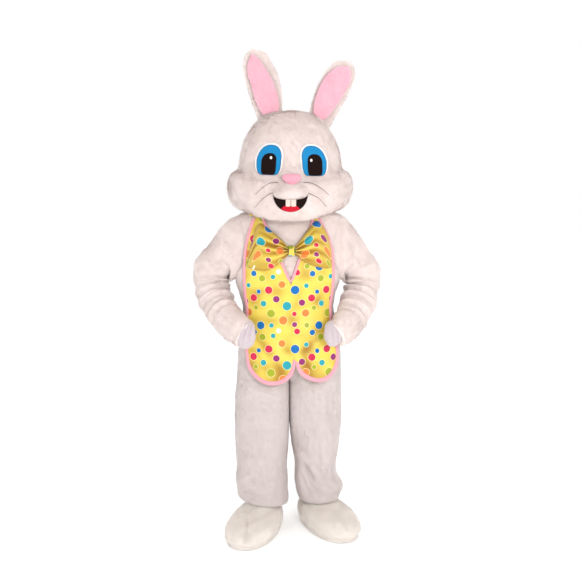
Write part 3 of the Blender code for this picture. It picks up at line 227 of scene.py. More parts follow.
# The bow's loops fan out from the knot: the upper and lower edge at each distance.
BowStep = namedtuple("BowStep", "place x top bottom puff")
RIGHT_LOOP = rows(BowStep, [
    (0, 0.0200, 1.174, 1.143, 0.014), (1, 0.045, 1.208, 1.122, 0.028), (2, 0.075, 1.247, 1.106, 0.038),
    (3, 0.104, 1.278, 1.094, 0.040), (4, 0.132, 1.258, 1.088, 0.034), (5, 0.154, 1.216, 1.085, 0.021),
    (6, 0.168, 1.158, 1.088, 0.007),
])
LEFT_LOOP = rows(BowStep, [
    (0, -0.0080, 1.176, 1.141, 0.014), (1, -0.034, 1.204, 1.114, 0.028), (2, -0.066, 1.232, 1.090, 0.038),
    (3, -0.098, 1.256, 1.077, 0.042), (4, -0.128, 1.264, 1.078, 0.036), (5, -0.153, 1.196, 1.083, 0.022),
    (6, -0.173, 1.120, 1.090, 0.007),
])
KNOT, KNOT_HALF, KNOT_TALL, KNOT_PUFF = (0.006, 1.158), 0.0135, 0.021, 0.024
BOW_BACK = 0.0064

# The face, as (x, height) on the front of the head.
LEFT_EYE, RIGHT_EYE = (-0.083, 1.513), (0.096, 1.509)
EYE_HALF, EYE_UP, EYE_DOWN = 0.0485, 0.061, 0.048
PUPIL_HALF, PUPIL_UP, PUPIL_DOWN = 0.029, 0.030, 0.044
NOSE, NOSE_HALF = (0.007, 1.443), 0.037
MUZZLE, MUZZLE_HALF, MUZZLE_TALL, MUZZLE_PUFF = (0.002, 1.396), 0.071, 0.0355, 0.034
MOUTH_HALF, MOUTH_LOW = 0.068, 1.3120
TONGUE_HALF, TONGUE_TOP = 0.038, 1.3350
TEETH = [("tooth_left", -0.0170, 0.0030), ("tooth_right", 0.0036, 0.0240)]
TOOTH_LOW = 1.3325
Whisker, Spot = namedtuple("Whisker", "name spots"), namedtuple("Spot", "x z")
WHISKERS = [
    Whisker("whisker_left_upper", [(-0.046, 1.4252), (-0.072, 1.424), (-0.101, 1.409), (-0.134, 1.379)]),
    Whisker("whisker_left_lower", [(-0.066, 1.386), (-0.082, 1.379), (-0.108, 1.360), (-0.139, 1.329)]),
    Whisker("whisker_right_upper", [(0.052, 1.426), (0.089, 1.421), (0.130, 1.397), (0.151, 1.378)]),
    Whisker("whisker_right_lower", [(0.070, 1.385), (0.096, 1.373), (0.112, 1.364), (0.145, 1.331)]),
]
WHISKER_RADIUS = 0.0009

FLOOR = np.array([0.0, 0.0, SHOULDER_HEIGHT])
SUIT_PILE, HEAD_PILE, SHORT_PILE = 0.0045, 0.0060, 0.0035
HEM_ROWS = 4


def unit(v):
    return v / np.maximum(np.linalg.norm(v, axis=-1, keepdims=True), 1e-12)


def smooth(t):
    t = np.clip(t, 0.0, 1.0)
    return t * t * (3 - 2 * t)


def power(value, exponent):
    return np.sign(value) * np.abs(value) ** exponent


def mix(a, b, share):
    return a + (b - a) * share


def counted(rows):
    numbered = namedtuple("Numbered", ("row",) + rows[0]._fields)
    return [numbered(i, *row) for i, row in enumerate(rows)]


def read(rows, at, key=0):
    """A table's columns at given values of its key column, on smooth curves through its rows."""
    table = np.array(rows, float)
    if table[0, key] > table[-1, key]:
        table = table[::-1]
    keys = table[:, key]
    at = np.clip(np.asarray(at, float), keys[0], keys[-1])
    i = np.clip(np.searchsorted(keys, at, side="right") - 1, 0, len(keys) - 2)
    low, high = np.maximum(np.arange(len(keys)) - 1, 0), np.minimum(np.arange(len(keys)) + 1, len(keys) - 1)
    slopes = (table[high] - table[low]) / (keys[high] - keys[low])[:, None]
    span = (keys[i + 1] - keys[i])[..., None]
    t = (at[..., None] - keys[i][..., None]) / span
    values = table[i] * (2 * t**3 - 3 * t**2 + 1) + slopes[i] * span * (t**3 - 2 * t**2 + t)
    values = values + table[i + 1] * (3 * t**2 - 2 * t**3) + slopes[i + 1] * span * (t**3 - t**2)
    return type(rows[0])(*np.moveaxis(values, -1, 0))


def spot(x, y, z):
    return np.stack(np.broadcast_arrays(x, y, z), -1).astype(float)


def ripple(points, seed, size, waves=7):
    """A soft uneven field of about -1 to 1 over points, with humps about size apart."""
    rng = np.random.default_rng(seed)
    total = np.zeros(points.shape[:-1])
    for _ in range(waves):
        way = unit(rng.normal(size=3)) * 2 * math.pi / size * rng.uniform(0.6, 1.3)
        total += np.sin(points @ way + rng.uniform(0, 6.28))
    return total / math.sqrt(waves)


# ------------------------------------------------------------ surfaces


def ring_point(ring, angle, grow=0.0):
    side, face = np.cos(angle), np.sin(angle)
    depth = np.where(face > 0, ring.front, ring.back)
    x = ring.centre + (ring.half_width + grow) * power(side, ring.power)
    return spot(x, -(depth + grow) * power(face, ring.power), ring.height)


def drape_point(x, height, lift):
    """Points at x on the suit's front, or below the hip on the vest's own hang, lifted off it."""
    x, height, lift = np.broadcast_arrays(x, height, lift)
    above, below = read(BODY, height), read(SKIRT, height)
    ring = BodyRing(*[np.where(height >= BODY[1].height, a, b) for a, b in zip(above, below)])
    ring = ring._replace(height=height)
    share = np.clip((x - ring.centre) / (ring.half_width + lift), -1, 1)
    return ring_point(ring, np.arccos(power(share, 1 / ring.power)), lift)


def armhole_angle(height):
    share = np.clip((height - ARMPIT) / (SHOULDER_POINT - ARMPIT), 0, 1)
    return ARMHOLE_ANGLE * np.sqrt(np.maximum(np.sin(math.pi * share), 0))


def armhole_height(around):
    return ARMPIT + (SHOULDER_POINT - ARMPIT) * (1 - np.cos(around)) / 2


def armhole_point(side, around):
    height = armhole_height(around)
    turn = armhole_angle(height) * np.where(around <= math.pi, 1, -1)
    return ring_point(read(BODY, height), turn if side > 0 else math.pi - turn)


def fold_lift(folds, along, degrees):
    lift = 0.0
    for fold in folds:
        turn = (degrees - fold.around + 180) % 360 - 180
        off = (along - fold.along - fold.slant * turn / 90) / fold.width
        lift = lift + fold.height * np.exp(-off * off - (turn / fold.reach) ** 2)
    return lift


class Path:
    """A smooth centreline with its running length and the directions across it."""

    def __init__(self, stations, side):
        self.side, self.table = side, counted(stations)
        self.keys = np.linspace(0, len(stations) - 1, 161)
        steps = np.linalg.norm(np.diff(self.place(self.keys), axis=0), axis=1)
        self.lengths = np.concatenate([[0], np.cumsum(steps)])
        self.length = self.lengths[-1]

    def place(self, key):
        row = read(self.table, key)
        return spot(row.x, row.y, row.z)

    def at(self, along):
        """Centre, inner direction, front direction and the two half sizes."""
        key = np.interp(along, self.lengths, self.keys)
        after, before = np.minimum(key + 0.05, self.keys[-1]), np.maximum(key - 0.05, 0)
        ahead = unit(self.place(after) - self.place(before))
        front = np.array([0.0, -1.0, 0.0]) * np.ones_like(ahead)
        front = unit(front - ahead * np.sum(front * ahead, -1, keepdims=True))
        beyond = np.minimum(0, along) + np.maximum(0, along - self.length)
        row = read(self.table, key)
        return self.place(key) + ahead * beyond[..., None], np.cross(ahead, front) * self.side, front, row


def tube(path, folds, along, around):
    """Rows along a path, columns around it."""
    centre, inner, front, row = path.at(along[:, None] + 0 * around)
    lift = fold_lift(folds, along[:, None], np.degrees(around) % 360) * np.minimum(1, row.across / 0.03)
    wide, deep = (row.across + lift) * np.cos(around), (row.deep + lift) * np.sin(around)
    return centre + inner * wide[..., None] + front * deep[..., None]


def sleeve_grid(path, folds, along, around):
    whole = tube(path, folds, along, around)
    share = smooth(along / ARMHOLE_BLEND)[:, None, None]
    drift = (path.at(along)[0] - path.at(np.zeros(1))[0])[:, None]
    return mix(armhole_point(path.side, around % (2 * math.pi)) + drift, whole, share)


def leg_grid(side, table, folds, share, height):
    height = height[:, None]
    ring = read(table, height + 0 * share)
    inner, outer, turn = np.maximum(ring.inner, 0), ring.outer, 2 * math.pi * share
    open_x = inner + (outer - inner) * power(np.sin(math.pi * share), 0.80)
    open_y = -ring.deep * power(np.cos(math.pi * share), 0.80)
    half = (outer - inner) / 2
    round_x = inner + half - half * power(np.cos(turn), 0.92)
    pressed = smooth((height - 0.32) / 0.10) * smooth(np.cos(turn))
    round_y = ring.middle - ring.deep * power(np.sin(turn), 0.92 - 0.40 * pressed)
    closed = 1 - np.sqrt(np.clip((height - CROTCH) / FORK_HEIGHT, 0, 1))
    lift = fold_lift(folds, HIP_SEAM - height, np.degrees(turn)) * smooth(closed)
    x = np.maximum(mix(open_x, round_x, closed) - lift * np.cos(turn), SEAM_GAP / 2)
    y = mix(open_y, round_y, closed) - lift * np.sin(turn)
    slant = HEM_SLANT[side] * np.cos(turn) * smooth((0.26 - height) / 0.15)
    return spot(SUIT_MIDDLE + side * x, y, height - slant)


def head_grid(angle, key):
    """The head's skin, with the crease over the cheeks fading out across the face."""
    steps = np.linspace(-1.8, 1.8, 9)
    near = sum(head_ring(angle, np.clip(key + step, 0, len(HEAD) - 1)) for step in steps) / len(steps)
    share = smooth((np.sin(angle) - 0.42) / 0.35) * np.exp(-(((key[:, None] - CREASE_RING) / 1.5) ** 4))
    return mix(head_ring(angle, key), near, share[..., None])


def head_ring(angle, key):
    ring = read(counted(HEAD), key[:, None] + 0 * angle)
    side, face = np.cos(angle), np.sin(angle)
    depth = np.where(face > 0, ring.front, ring.back)
    drop = np.where(face > 0, ring.front_drop, ring.back_drop)
    x, y = ring.half_width * power(side, HEAD_POWER), -depth * power(face, HEAD_POWER)
    return spot(x, y, ring.height - drop * face * face)


def foot_grid(key, place, turn, shrink=0.0):
    ring = read(counted(FOOT), key[:, None] + 0 * turn)
    out = math.radians(place.turn)
    ahead = np.array([math.sin(out), -math.cos(out), 0])
    across = np.array([math.cos(out), math.sin(out), 0])
    along = (ring.heel + ring.toe) / 2 + ((ring.toe - ring.heel) / 2 - shrink) * power(np.cos(turn), 0.9)
    wide = (ring.width / 2 - shrink) * power(np.sin(turn), 0.9) * (1 + 0.10 * np.cos(turn))
    middle = spot(place.x, place.y, ring.height)
    return middle + ahead * (along - ANKLE_FROM_HEEL)[..., None] + across * wide[..., None]


# ------------------------------------------------------------ creases

# A crease seen from the front, or with face -1 from the back: its ends as (x, height), how far it bows
# to one side, its width, and its depth, which is a ridge where it is above 0.
Crease = namedtuple("Crease", "x0 z0 x1 z1 bow width depth face")


def creased(grid, normals, creases):
    """How far the creases lift each point."""
    x, z, lift = grid[..., 0], grid[..., 2], np.zeros(grid.shape[:-1])
    for c in creases:
        dx, dz = c.x1 - c.x0, c.z1 - c.z0
        size = math.hypot(dx, dz)
        t = ((x - c.x0) * dx + (z - c.z0) * dz) / size**2
        off = ((z - c.z0) * dx - (x - c.x0) * dz) / size - c.bow * 4 * t * (1 - t)
        off = off / np.where(off > 0, c.width * 1.35, c.width * 0.75)
        ends = smooth((t + 0.12) / 0.45) * smooth((1.12 - t) / 0.45)
        facing = smooth(0.5 - 1.6 * c.face * normals[..., 1])
        lift += c.depth * np.exp(-off * off) * ends * facing
    return lift


# ------------------------------------------------------------ meshes


def normals_of(grid, core, closed=False):
    wide = np.concatenate([grid[:, -2:-1], grid, grid[:, 1:2]], 1) if closed else grid
    across = wide[:, 2:] - wide[:, :-2] if closed else np.gradient(grid, axis=1)
    normals = np.cross(across, np.gradient(grid, axis=0))
    if np.sum(normals * (grid - core)) < 0:
        normals = -normals
    size = np.linalg.norm(normals, axis=-1)
    for row in np.where(size.max(axis=1) < 1e-9)[0]:
        normals[row] = normals[row - 1 if row else 1].mean(axis=0)
    for row, column in np.argwhere(size < 1e-12):
        if size[row].max() >= 1e-9:
            normals[row, column] = normals[row, max(column - 1, 0)]
    return unit(normals)


def evened(at, field, width):
    """The columns of a field averaged over width along its rows, which stand at uneven places."""
    near = np.exp(-(((at[:, None] - at[None]) / width) ** 2)) * np.abs(np.gradient(at))[None]
    return near @ field / near.sum(axis=1, keepdims=True)


def raised(grid, normals, lift):
    return grid + normals * np.asarray(lift)[..., None]


def linked(name, data):
    made = bpy.data.objects.new(name, data)
    bpy.context.scene.collection.objects.link(made)
    return made


def quads_of(index):
    """The four corners of each cell of a grid of vertex numbers."""
    corners = [index[:-1, :-1], index[:-1, 1:], index[1:, 1:], index[1:, :-1]]
    return np.stack(corners, -1).reshape(-1, 4).tolist()


def tree_of(grid):
    index = np.arange(grid.shape[0] * grid.shape[1]).reshape(grid.shape[:2])
    return BVHTree.FromPolygons(grid.reshape(-1, 3).tolist(), quads_of(index))


def piece(name, grid, finish, closed=False, uv=None, tone=None):
    """A smooth mesh through a grid of points. A row of equal points becomes a pole."""
    rows, cols = grid.shape[:2]
    index = np.arange(rows * cols).reshape(rows, cols)
    if closed:
        index[:, -1] = index[:, 0]
    for r in range(rows):
        if np.ptp(grid[r], axis=0).max() < 1e-9:
            index[r] = index[r, 0]
    faces = []
    for quad in quads_of(index):
        ring = [a for a, b in zip(quad, quad[1:] + quad[:1]) if a != b]
        if len(set(ring)) >= 3:
            faces.append(ring)
    used = np.unique(np.concatenate([np.array(f) for f in faces]))
    place = np.full(rows * cols, -1)
    place[used] = np.arange(len(used))
    mesh = bpy.data.meshes.new(name)
    points = grid.reshape(-1, 3)[used] - FLOOR
    mesh.from_pydata(points.tolist(), [], [[int(place[k]) for k in f] for f in faces])
    if uv is not None:
        layer = mesh.uv_layers.new(name="metres")
        corner = np.zeros(len(mesh.loops), np.int32)
        mesh.loops.foreach_get("vertex_index", corner)
        layer.data.foreach_set("uv", uv.reshape(-1, 2)[used][corner].ravel().astype(np.float32))
    if tone is not None:
        depth = mesh.attributes.new("tone", "FLOAT", "POINT")
        depth.data.foreach_set("value", tone.reshape(-1)[used].astype(np.float32))
    mesh.shade_smooth()
    mesh.materials.append(finish)
    return linked(name, mesh)


def placed(made, slot, *nodes):
    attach(made, "root")
    if nodes:
        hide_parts(*nodes)
    return made


def drawn_in(grid, centre, ahead, reach, curl):
    """Rows beyond the grid's last one that curl over and in, as where elastic draws a cuff to the wrist."""
    rows = []
    for t in np.linspace(0.2, 1, 5):
        turn = t * math.pi * 0.75
        near = 1 - reach * (1 - math.cos(turn)) / 1.7
        rows.append(centre + (grid[-1] - centre) * near + ahead * curl * math.sin(turn))
    return np.concatenate([grid, np.array(rows)], 0)


def hemmed(grid, normals, wall=0.0015, low=False):
    """The grid with its last rows, or its first, turned in behind it as a hem."""
    inner = raised(grid, normals, -wall)
    if low:
        fold = (inner[:1] + grid[:1]) / 2 + (grid[:1] - grid[1:2]) * 0.25
        return np.concatenate([inner[HEM_ROWS:0:-1], inner[:1], fold, grid], 0)
    fold = (inner[-1:] + grid[-1:]) / 2 + (grid[-1:] - grid[-2:-1]) * 0.25
    return np.concatenate([grid, fold, inner[-1:], inner[-2 : -HEM_ROWS - 2 : -1]], 0)


def pile(name, grid, normals, count, tall, lean, wide, finish, seed, axis=(0.0, 0.0), slot="plush"):
    """Short tufts of pile on a surface, brushed down it, one thin face each."""
    rng = np.random.default_rng(seed)
    a, b, c, d = grid[:-1, :-1], grid[:-1, 1:], grid[1:, 1:], grid[1:, :-1]
    area = np.linalg.norm(np.cross(c - a, d - b), axis=-1)
    row, col = np.unravel_index(rng.choice(area.size, count, p=area.ravel() / area.sum()), area.shape)
    s, t = rng.random((2, count, 1))

    def blend(field):
        low = field[row, col] * (1 - s) + field[row, col + 1] * s
        return low * (1 - t) + (field[row + 1, col] * (1 - s) + field[row + 1, col + 1] * s) * t

    root, normal = blend(grid), unit(blend(normals))
    out = np.concatenate([unit(root[:, :2] - np.array(axis)) * 0.30, np.full((count, 1), -1.0)], 1)
    flow = unit(out - normal * np.sum(out * normal, -1, keepdims=True))
    swirl = 0.55 * ripple(root, seed, 0.11) + 0.5 * ripple(root, seed + 1, 0.028) + rng.normal(0, 0.30, count)
    flow = flow * np.cos(swirl)[:, None] + np.cross(normal, flow) * np.sin(swirl)[:, None]
    rise = (0.55 + 0.40 * rng.random(count) + 0.10 * ripple(root, seed + 2, 0.020)).clip(0.35, 1.0)[:, None]
    tip = root + normal * tall * rise + flow * lean * (1.0 + 0.5 * rng.random((count, 1)))
    tip[:, 2] = np.maximum(tip[:, 2], 0.001)
    side = np.cross(normal, flow) * wide / 2 * (0.7 + 0.6 * rng.random((count, 1)))
    points = np.stack([root + side, root - side, tip], 1).reshape(-1, 3) - FLOOR
    mesh = bpy.data.meshes.new(name)
    mesh.vertices.add(count * 3)
    mesh.vertices.foreach_set("co", points.ravel().astype(np.float32))
    mesh.loops.add(count * 3)
    mesh.loops.foreach_set("vertex_index", np.arange(count * 3, dtype=np.int32))
    mesh.polygons.add(count)
    mesh.polygons.foreach_set("loop_start", np.arange(0, count * 3, 3, dtype=np.int32))
    mesh.update()
    mesh.shade_smooth()
    shade = unit(normal - flow * 0.12 + rng.normal(0, 0.10, (count, 3)))
    mesh.normals_split_custom_set_from_vertices(np.repeat(shade, 3, axis=0).tolist())
    mesh.materials.append(finish)
    return placed(linked(name, mesh), slot)


# ------------------------------------------------------------ finishes


def material(name, colour, roughness):
    made = bpy.data.materials.new(name)
    made.use_nodes = True
    shader = made.node_tree.nodes["Principled BSDF"]
    shader.inputs["Base Color"].default_value = (*colour, 1)
    shader.inputs["Roughness"].default_value = roughness
    return made, made.node_tree, shader


def add(tree, kind, **values):
    """A shader node; values set its sockets by name, with spaces written as _, or its own settings."""
    made = tree.nodes.new("ShaderNode" + kind)
    for key, value in values.items():
        label = key.replace("_", " ")
        socket = next((s for s in made.inputs if s.name.lower() == label.lower() and s.enabled), None)
        if socket is None or hasattr(made, key):
            setattr(made, key, value)
        elif isinstance(value, bpy.types.NodeSocket):
            tree.links.new(value, socket)
        else:
            socket.default_value = value
    return made


# Between these heights the body's plush blends down to a darker colour at the hips, which is painted shade.
HIP_SHADE_BLEND = (-0.52, -0.24)


def plush_finish(name, colour, shade, grain, depth, sheen=0.5, shaded_hips=None):
    """A pile cloth: a soft sheen over a colour that varies a little, and at the hips blends to a darker
    colour of painted shade when one is given.
    """
    made, tree, shader = material(name, colour, 0.95)
    place = add(tree, "TexCoord").outputs["Object"]
    broad = add(tree, "TexNoise", Vector=place, Scale=14.0, Detail=3.0)
    fine = add(tree, "TexNoise", Vector=place, Scale=grain, Detail=4.0, Roughness=0.7)
    ramp = add(tree, "ValToRGB", Fac=broad.outputs["Fac"])
    ramp.color_ramp.elements[0].position, ramp.color_ramp.elements[1].position = 0.35, 0.65
    ramp.color_ramp.elements[0].color, ramp.color_ramp.elements[1].color = (*shade, 1), (*colour, 1)
    tree.links.new(ramp.outputs["Color"], shader.inputs["Base Color"])
    # Painted shade: below the waist the colour blends to a darker one, as the lower suit gets less light.
    if shaded_hips:
        height = add(tree, "SeparateXYZ", Vector=place).outputs["Z"]
        up = add(tree, "MapRange", Value=height,
                 From_Min=HIP_SHADE_BLEND[0], From_Max=HIP_SHADE_BLEND[1], To_Min=0.0, To_Max=1.0)
        blend = add(tree, "MixRGB", Color1=(*shaded_hips, 1), Color2=ramp.outputs["Color"], Fac=up.outputs["Result"])
        tree.links.new(blend.outputs["Color"], shader.inputs["Base Color"])
    bump = add(tree, "Bump", Strength=0.6, Distance=depth, Height=fine.outputs["Fac"])
    tree.links.new(bump.outputs["Normal"], shader.inputs["Normal"])
    shader.inputs["Sheen Weight"].default_value = sheen
    shader.inputs["Sheen Roughness"].default_value = 0.6
    shader.inputs["Sheen Tint"].default_value = (1.0, 0.96, 0.95, 1)
    shader.inputs["Specular IOR Level"].default_value = 0.15
    return made


def felt_finish(name, colour, roughness=0.85, grain=900.0, sheen=0.15, gloss=0.25):
    made, tree, shader = material(name, colour, roughness)
    fine = add(tree, "TexNoise", Vector=add(tree, "TexCoord").outputs["Object"], Scale=grain, Detail=3.0)
    bump = add(tree, "Bump", Strength=0.3, Distance=0.0006, Height=fine.outputs["Fac"])
    tree.links.new(bump.outputs["Normal"], shader.inputs["Normal"])
    shader.inputs["Sheen Weight"].default_value = sheen
    shader.inputs["Specular IOR Level"].default_value = gloss
    return made


# The satin's print: a repeat of dots, in millimetres across and up a square of REPEAT.
REPEAT = 240.0
Dot = namedtuple("Dot", "x y radius colour")
DOTS = rows(Dot, [
    (24, 225, 13, "lime"), (69, 231, 9.5, "cyan"), (105, 200, 14, "orange"), (158, 178, 17.5, "blue"),
    (204, 195, 9.5, "cyan"), (51, 177, 15.5, "red"), (9, 170, 9, "blue"), (226, 144, 15, "red"),
    (82, 140, 13.5, "purple"), (186, 126, 13, "purple"), (29, 121, 12, "cyan"), (125, 112, 17.5, "cyan"),
    (60, 81, 16, "lime"), (155, 80, 9.5, "red"), (201, 83, 15, "orange"), (110, 54, 17, "orange"),
    (156, 37, 10.5, "purple"), (17, 32, 16, "blue"), (62, 33, 9.5, "cyan"), (206, 34, 10, "lime"),
    (91, 12, 9.5, "white"), (166, 9, 12, "red"), (229, 4, 11.5, "blue"), (236, 104, 9, "lime"),
])
DOT_COLOURS = {
    "red": (0.66, 0.018, 0.075), "blue": (0.0, 0.155, 0.50), "cyan": (0.018, 0.37, 0.44),
    "orange": (0.80, 0.24, 0.045), "purple": (0.30, 0.022, 0.17), "lime": (0.38, 0.43, 0.018),
    "white": (0.86, 0.84, 0.72),
}
# The gold is painted shade: the yellow satin is mixed towards it in creases' hollows, along the lower lobes
# and in the bow's pleats. The halo is part of the print.
SATIN_YELLOW, SATIN_SHADE_GOLD, HALO = (0.86, 0.68, 0.105), (0.40, 0.185, 0.012), (0.90, 0.80, 0.34)


def worked(tree, kind, operation, *values):
    """A math node of values or sockets, in the order of its own sockets."""
    made = add(tree, kind, operation=operation)
    for socket, value in zip(made.inputs, values):
        if isinstance(value, bpy.types.NodeSocket):
            tree.links.new(value, socket)
        else:
            socket.default_value = value
    return made.outputs


def satin_finish(name, print_dots=True, colour=SATIN_YELLOW):
    """Satin, with the dots of the chart in millimetres of its own cloth."""
    made, tree, shader = material(name, colour, 0.40)
    flat = add(tree, "UVMap", uv_map="metres").outputs["UV"]
    shader.inputs["Specular IOR Level"].default_value = 0.34
    shader.inputs["Sheen Weight"].default_value = 0.08
    shader.inputs["Anisotropic"].default_value = 0.35
    weave = add(tree, "Mapping", Vector=flat, Scale=(260, 2600, 1)).outputs["Vector"]
    threads = add(tree, "TexNoise", Vector=weave, Scale=1.0, Detail=2.0)
    bump = add(tree, "Bump", Strength=0.12, Distance=0.0005, Height=threads.outputs["Fac"])
    tree.links.new(bump.outputs["Normal"], shader.inputs["Normal"])
    if not print_dots:
        return made
    tile = add(tree, "VectorMath", operation="SCALE", Vector=flat, Scale=1000.0).outputs["Vector"]
    painted, halo = [], None
    for word, shown in DOT_COLOURS.items():
        near = None
        for dot in [d for d in DOTS if d.colour == word]:
            off = worked(tree, "VectorMath", "SUBTRACT", tile, (dot.x, dot.y, 0))["Vector"]
            wrap = worked(tree, "VectorMath", "WRAP", off, (REPEAT / 2,) * 3, (-REPEAT / 2,) * 3)["Vector"]
            size = worked(tree, "VectorMath", "LENGTH", wrap)["Value"]
            near = lesser(tree, near, worked(tree, "Math", "SUBTRACT", size, dot.radius)["Value"])
        halo = lesser(tree, halo, near)
        painted.append((near, shown))
    ring = add(tree, "MapRange", Value=halo, From_Min=1.2, From_Max=2.6, To_Min=1.0, To_Max=0.0)
    # Painted shade: a per-point attribute mixes the satin towards gold in hollows, lobes and pleats, with
    # soft patches of tone at random.
    tone = add(tree, "Attribute", attribute_name="tone")
    cloth = blended(tree, (*colour, 1), SATIN_SHADE_GOLD, tone.outputs["Fac"])
    cloth = blended(tree, cloth, HALO, ring.outputs["Result"])
    for near, shown in painted:
        inside = add(tree, "MapRange", Value=near, From_Min=-0.35, From_Max=0.35, To_Min=1.0, To_Max=0.0)
        cloth = blended(tree, cloth, shown, inside.outputs["Result"])
    tree.links.new(cloth, shader.inputs["Base Color"])
    return made


def blended(tree, under, over, share):
    return add(tree, "MixRGB", Color1=under, Color2=(*over, 1), Fac=share).outputs["Color"]


def lesser(tree, a, b):
    return b if a is None else worked(tree, "Math", "MINIMUM", a, b)["Value"]


# ------------------------------------------------------------ the suit

BODY_CREASES = rows(Crease, [
    (-0.222, 1.075, -0.196, 1.185, -0.012, 0.014, -0.007, 1),
    (-0.205, 1.035, -0.168, 1.120, 0.010, 0.013, 0.005, 1),
    (0.222, 1.070, 0.190, 1.190, 0.012, 0.014, -0.007, 1),
    (0.206, 1.030, 0.172, 1.110, -0.010, 0.013, 0.005, 1),
    (-0.190, 0.925, -0.120, 0.900, 0.006, 0.012, -0.004, 1),
    (0.195, 0.930, 0.130, 0.890, -0.006, 0.012, -0.004, 1),
    (-0.205, 1.080, -0.120, 1.200, 0.014, 0.016, -0.007, -1),
    (0.205, 1.060, 0.130, 1.210, -0.014, 0.016, -0.007, -1),
    (-0.185, 0.955, -0.030, 0.900, 0.018, 0.016, -0.006, -1),
    (0.188, 0.985, 0.050, 0.925, -0.016, 0.015, -0.006, -1),
    (-0.120, 0.880, 0.060, 0.868, -0.014, 0.018, 0.006, -1),
    (0.150, 0.905, 0.020, 0.855, 0.010, 0.013, -0.005, -1),
    (-0.060, 1.230, 0.070, 1.222, -0.020, 0.022, -0.005, -1),
    (-0.170, 0.850, -0.080, 0.812, 0.008, 0.012, -0.005, -1),
])


def suit_body(plush, fur):
    around = np.linspace(0, math.pi, 72)
    heights = np.concatenate([
        np.linspace(HIP_SEAM - 0.003, ARMPIT, 36)[:-1], armhole_height(around),
        np.array([1.308, 1.312, 1.316, 1.320, 1.324, 1.328, 1.333, 1.340, 1.350, 1.360, NECK_EDGE]),
    ])
    panels = [
        ("body_front", 0.0, math.pi, 96, (0.56, 0.60), 0.285),
        ("body_back_left", math.pi, 1.5 * math.pi, 48, (0.29, 0.60), 0.142),
        ("body_back_right", 1.5 * math.pi, 2 * math.pi, 48, (0.29, 0.60), 0.142),
    ]
    for k, (name, start, end, cols, flat, area) in enumerate(panels):
        cut = armhole_angle(heights)[:, None]
        low = start + (cut if abs(math.sin(start)) < 0.01 else 0)
        high = end - (cut if abs(math.sin(end)) < 0.01 else 0)
        angle = mix(low, high, np.linspace(0, 1, cols + 1))
        grid = ring_point(read(BODY, heights[:, None] + 0 * angle), angle)
        normals = normals_of(grid, np.array([0, 0, 1.1]))
        lift = creased(grid, normals, BODY_CREASES) + 0.0012 * ripple(grid, 5, 0.09) - SUIT_PILE
        grid = raised(grid, normals, lift)
        normals = normals_of(grid, np.array([0, 0, 1.1]))
        shell = piece("suit_" + name, hemmed(grid, normals), plush)
        placed(shell, "plush", name)
        tufts = pile("pile_" + name, grid, normals, int(200000 * area), SUIT_PILE, 0.0075, 0.0011, fur,
                     20 + k)


SLEEVE_CREASES = {
    1: rows(Crease, [
        (0.232, 1.205, 0.262, 1.100, 0.012, 0.014, -0.006, 1),
        (0.285, 1.190, 0.250, 1.090, -0.012, 0.016, 0.005, 1),
        (0.250, 1.160, 0.300, 1.070, 0.012, 0.013, -0.005, 1),
        (0.330, 0.930, 0.262, 0.850, 0.014, 0.012, -0.005, 1),
        (0.350, 0.965, 0.300, 0.870, 0.010, 0.013, 0.005, 1),
    ]),
    -1: rows(Crease, [
        (-0.240, 1.215, -0.262, 1.095, -0.012, 0.014, -0.006, 1),
        (-0.300, 1.195, -0.262, 1.090, 0.012, 0.016, 0.005, 1),
        (-0.262, 1.150, -0.318, 1.065, -0.012, 0.013, -0.005, 1),
        (-0.345, 0.930, -0.270, 0.850, -0.014, 0.012, -0.005, 1),
        (-0.375, 0.970, -0.320, 0.875, -0.010, 0.013, 0.005, 1),
    ]),
}
# Finer gathers of the sleeves between the largest folds, which both the solids and these sleeves have.
SLEEVE_GATHERS = rows(Fold, [
    (0.140, 200, 80, 0.010, -0.005, 0.020), (0.182, 190, 90, 0.012, 0.005, -0.010),
    (0.209, 15, 85, 0.0065, -0.007, 0.006), (0.222, 60, 60, 0.0070, 0.004, 0.012),
    (0.236, 5, 90, 0.0065, -0.008, -0.004), (0.249, 80, 60, 0.0080, -0.005, 0.008),
    (0.258, 15, 80, 0.0060, 0.005, 0.004), (0.263, 200, 90, 0.013, -0.007, 0.008),
    (0.282, 0, 85, 0.0060, -0.008, 0.006), (0.292, 90, 60, 0.0080, 0.005, -0.010),
    (0.308, 25, 90, 0.0065, -0.006, -0.005), (0.318, 210, 80, 0.014, 0.006, -0.008),
    (0.334, 80, 80, 0.0075, -0.006, 0.008), (0.348, 10, 80, 0.0060, 0.004, 0.008),
    (0.362, 30, 110, 0.0070, -0.007, -0.004), (0.388, 60, 110, 0.0075, -0.007, 0.010),
    (0.402, 300, 80, 0.0090, -0.006, 0.010), (0.412, 90, 110, 0.0075, 0.004, -0.006),
    (0.428, 60, 120, 0.0065, -0.006, 0.004),
])


# How far the cuff's pile lies over the mitt, past the sleeve's own end.
CUFF_OVER = 0.018


def sloped(grid):
    """The cloth falls in a little over the outer shoulder."""
    share = smooth((grid[..., 2] - 1.08) / 0.15) * smooth((np.abs(grid[..., 0]) - 0.20) / 0.09)
    return grid - spot(0.020 * np.sign(grid[..., 0]) * share, 0, 0.009 * share)


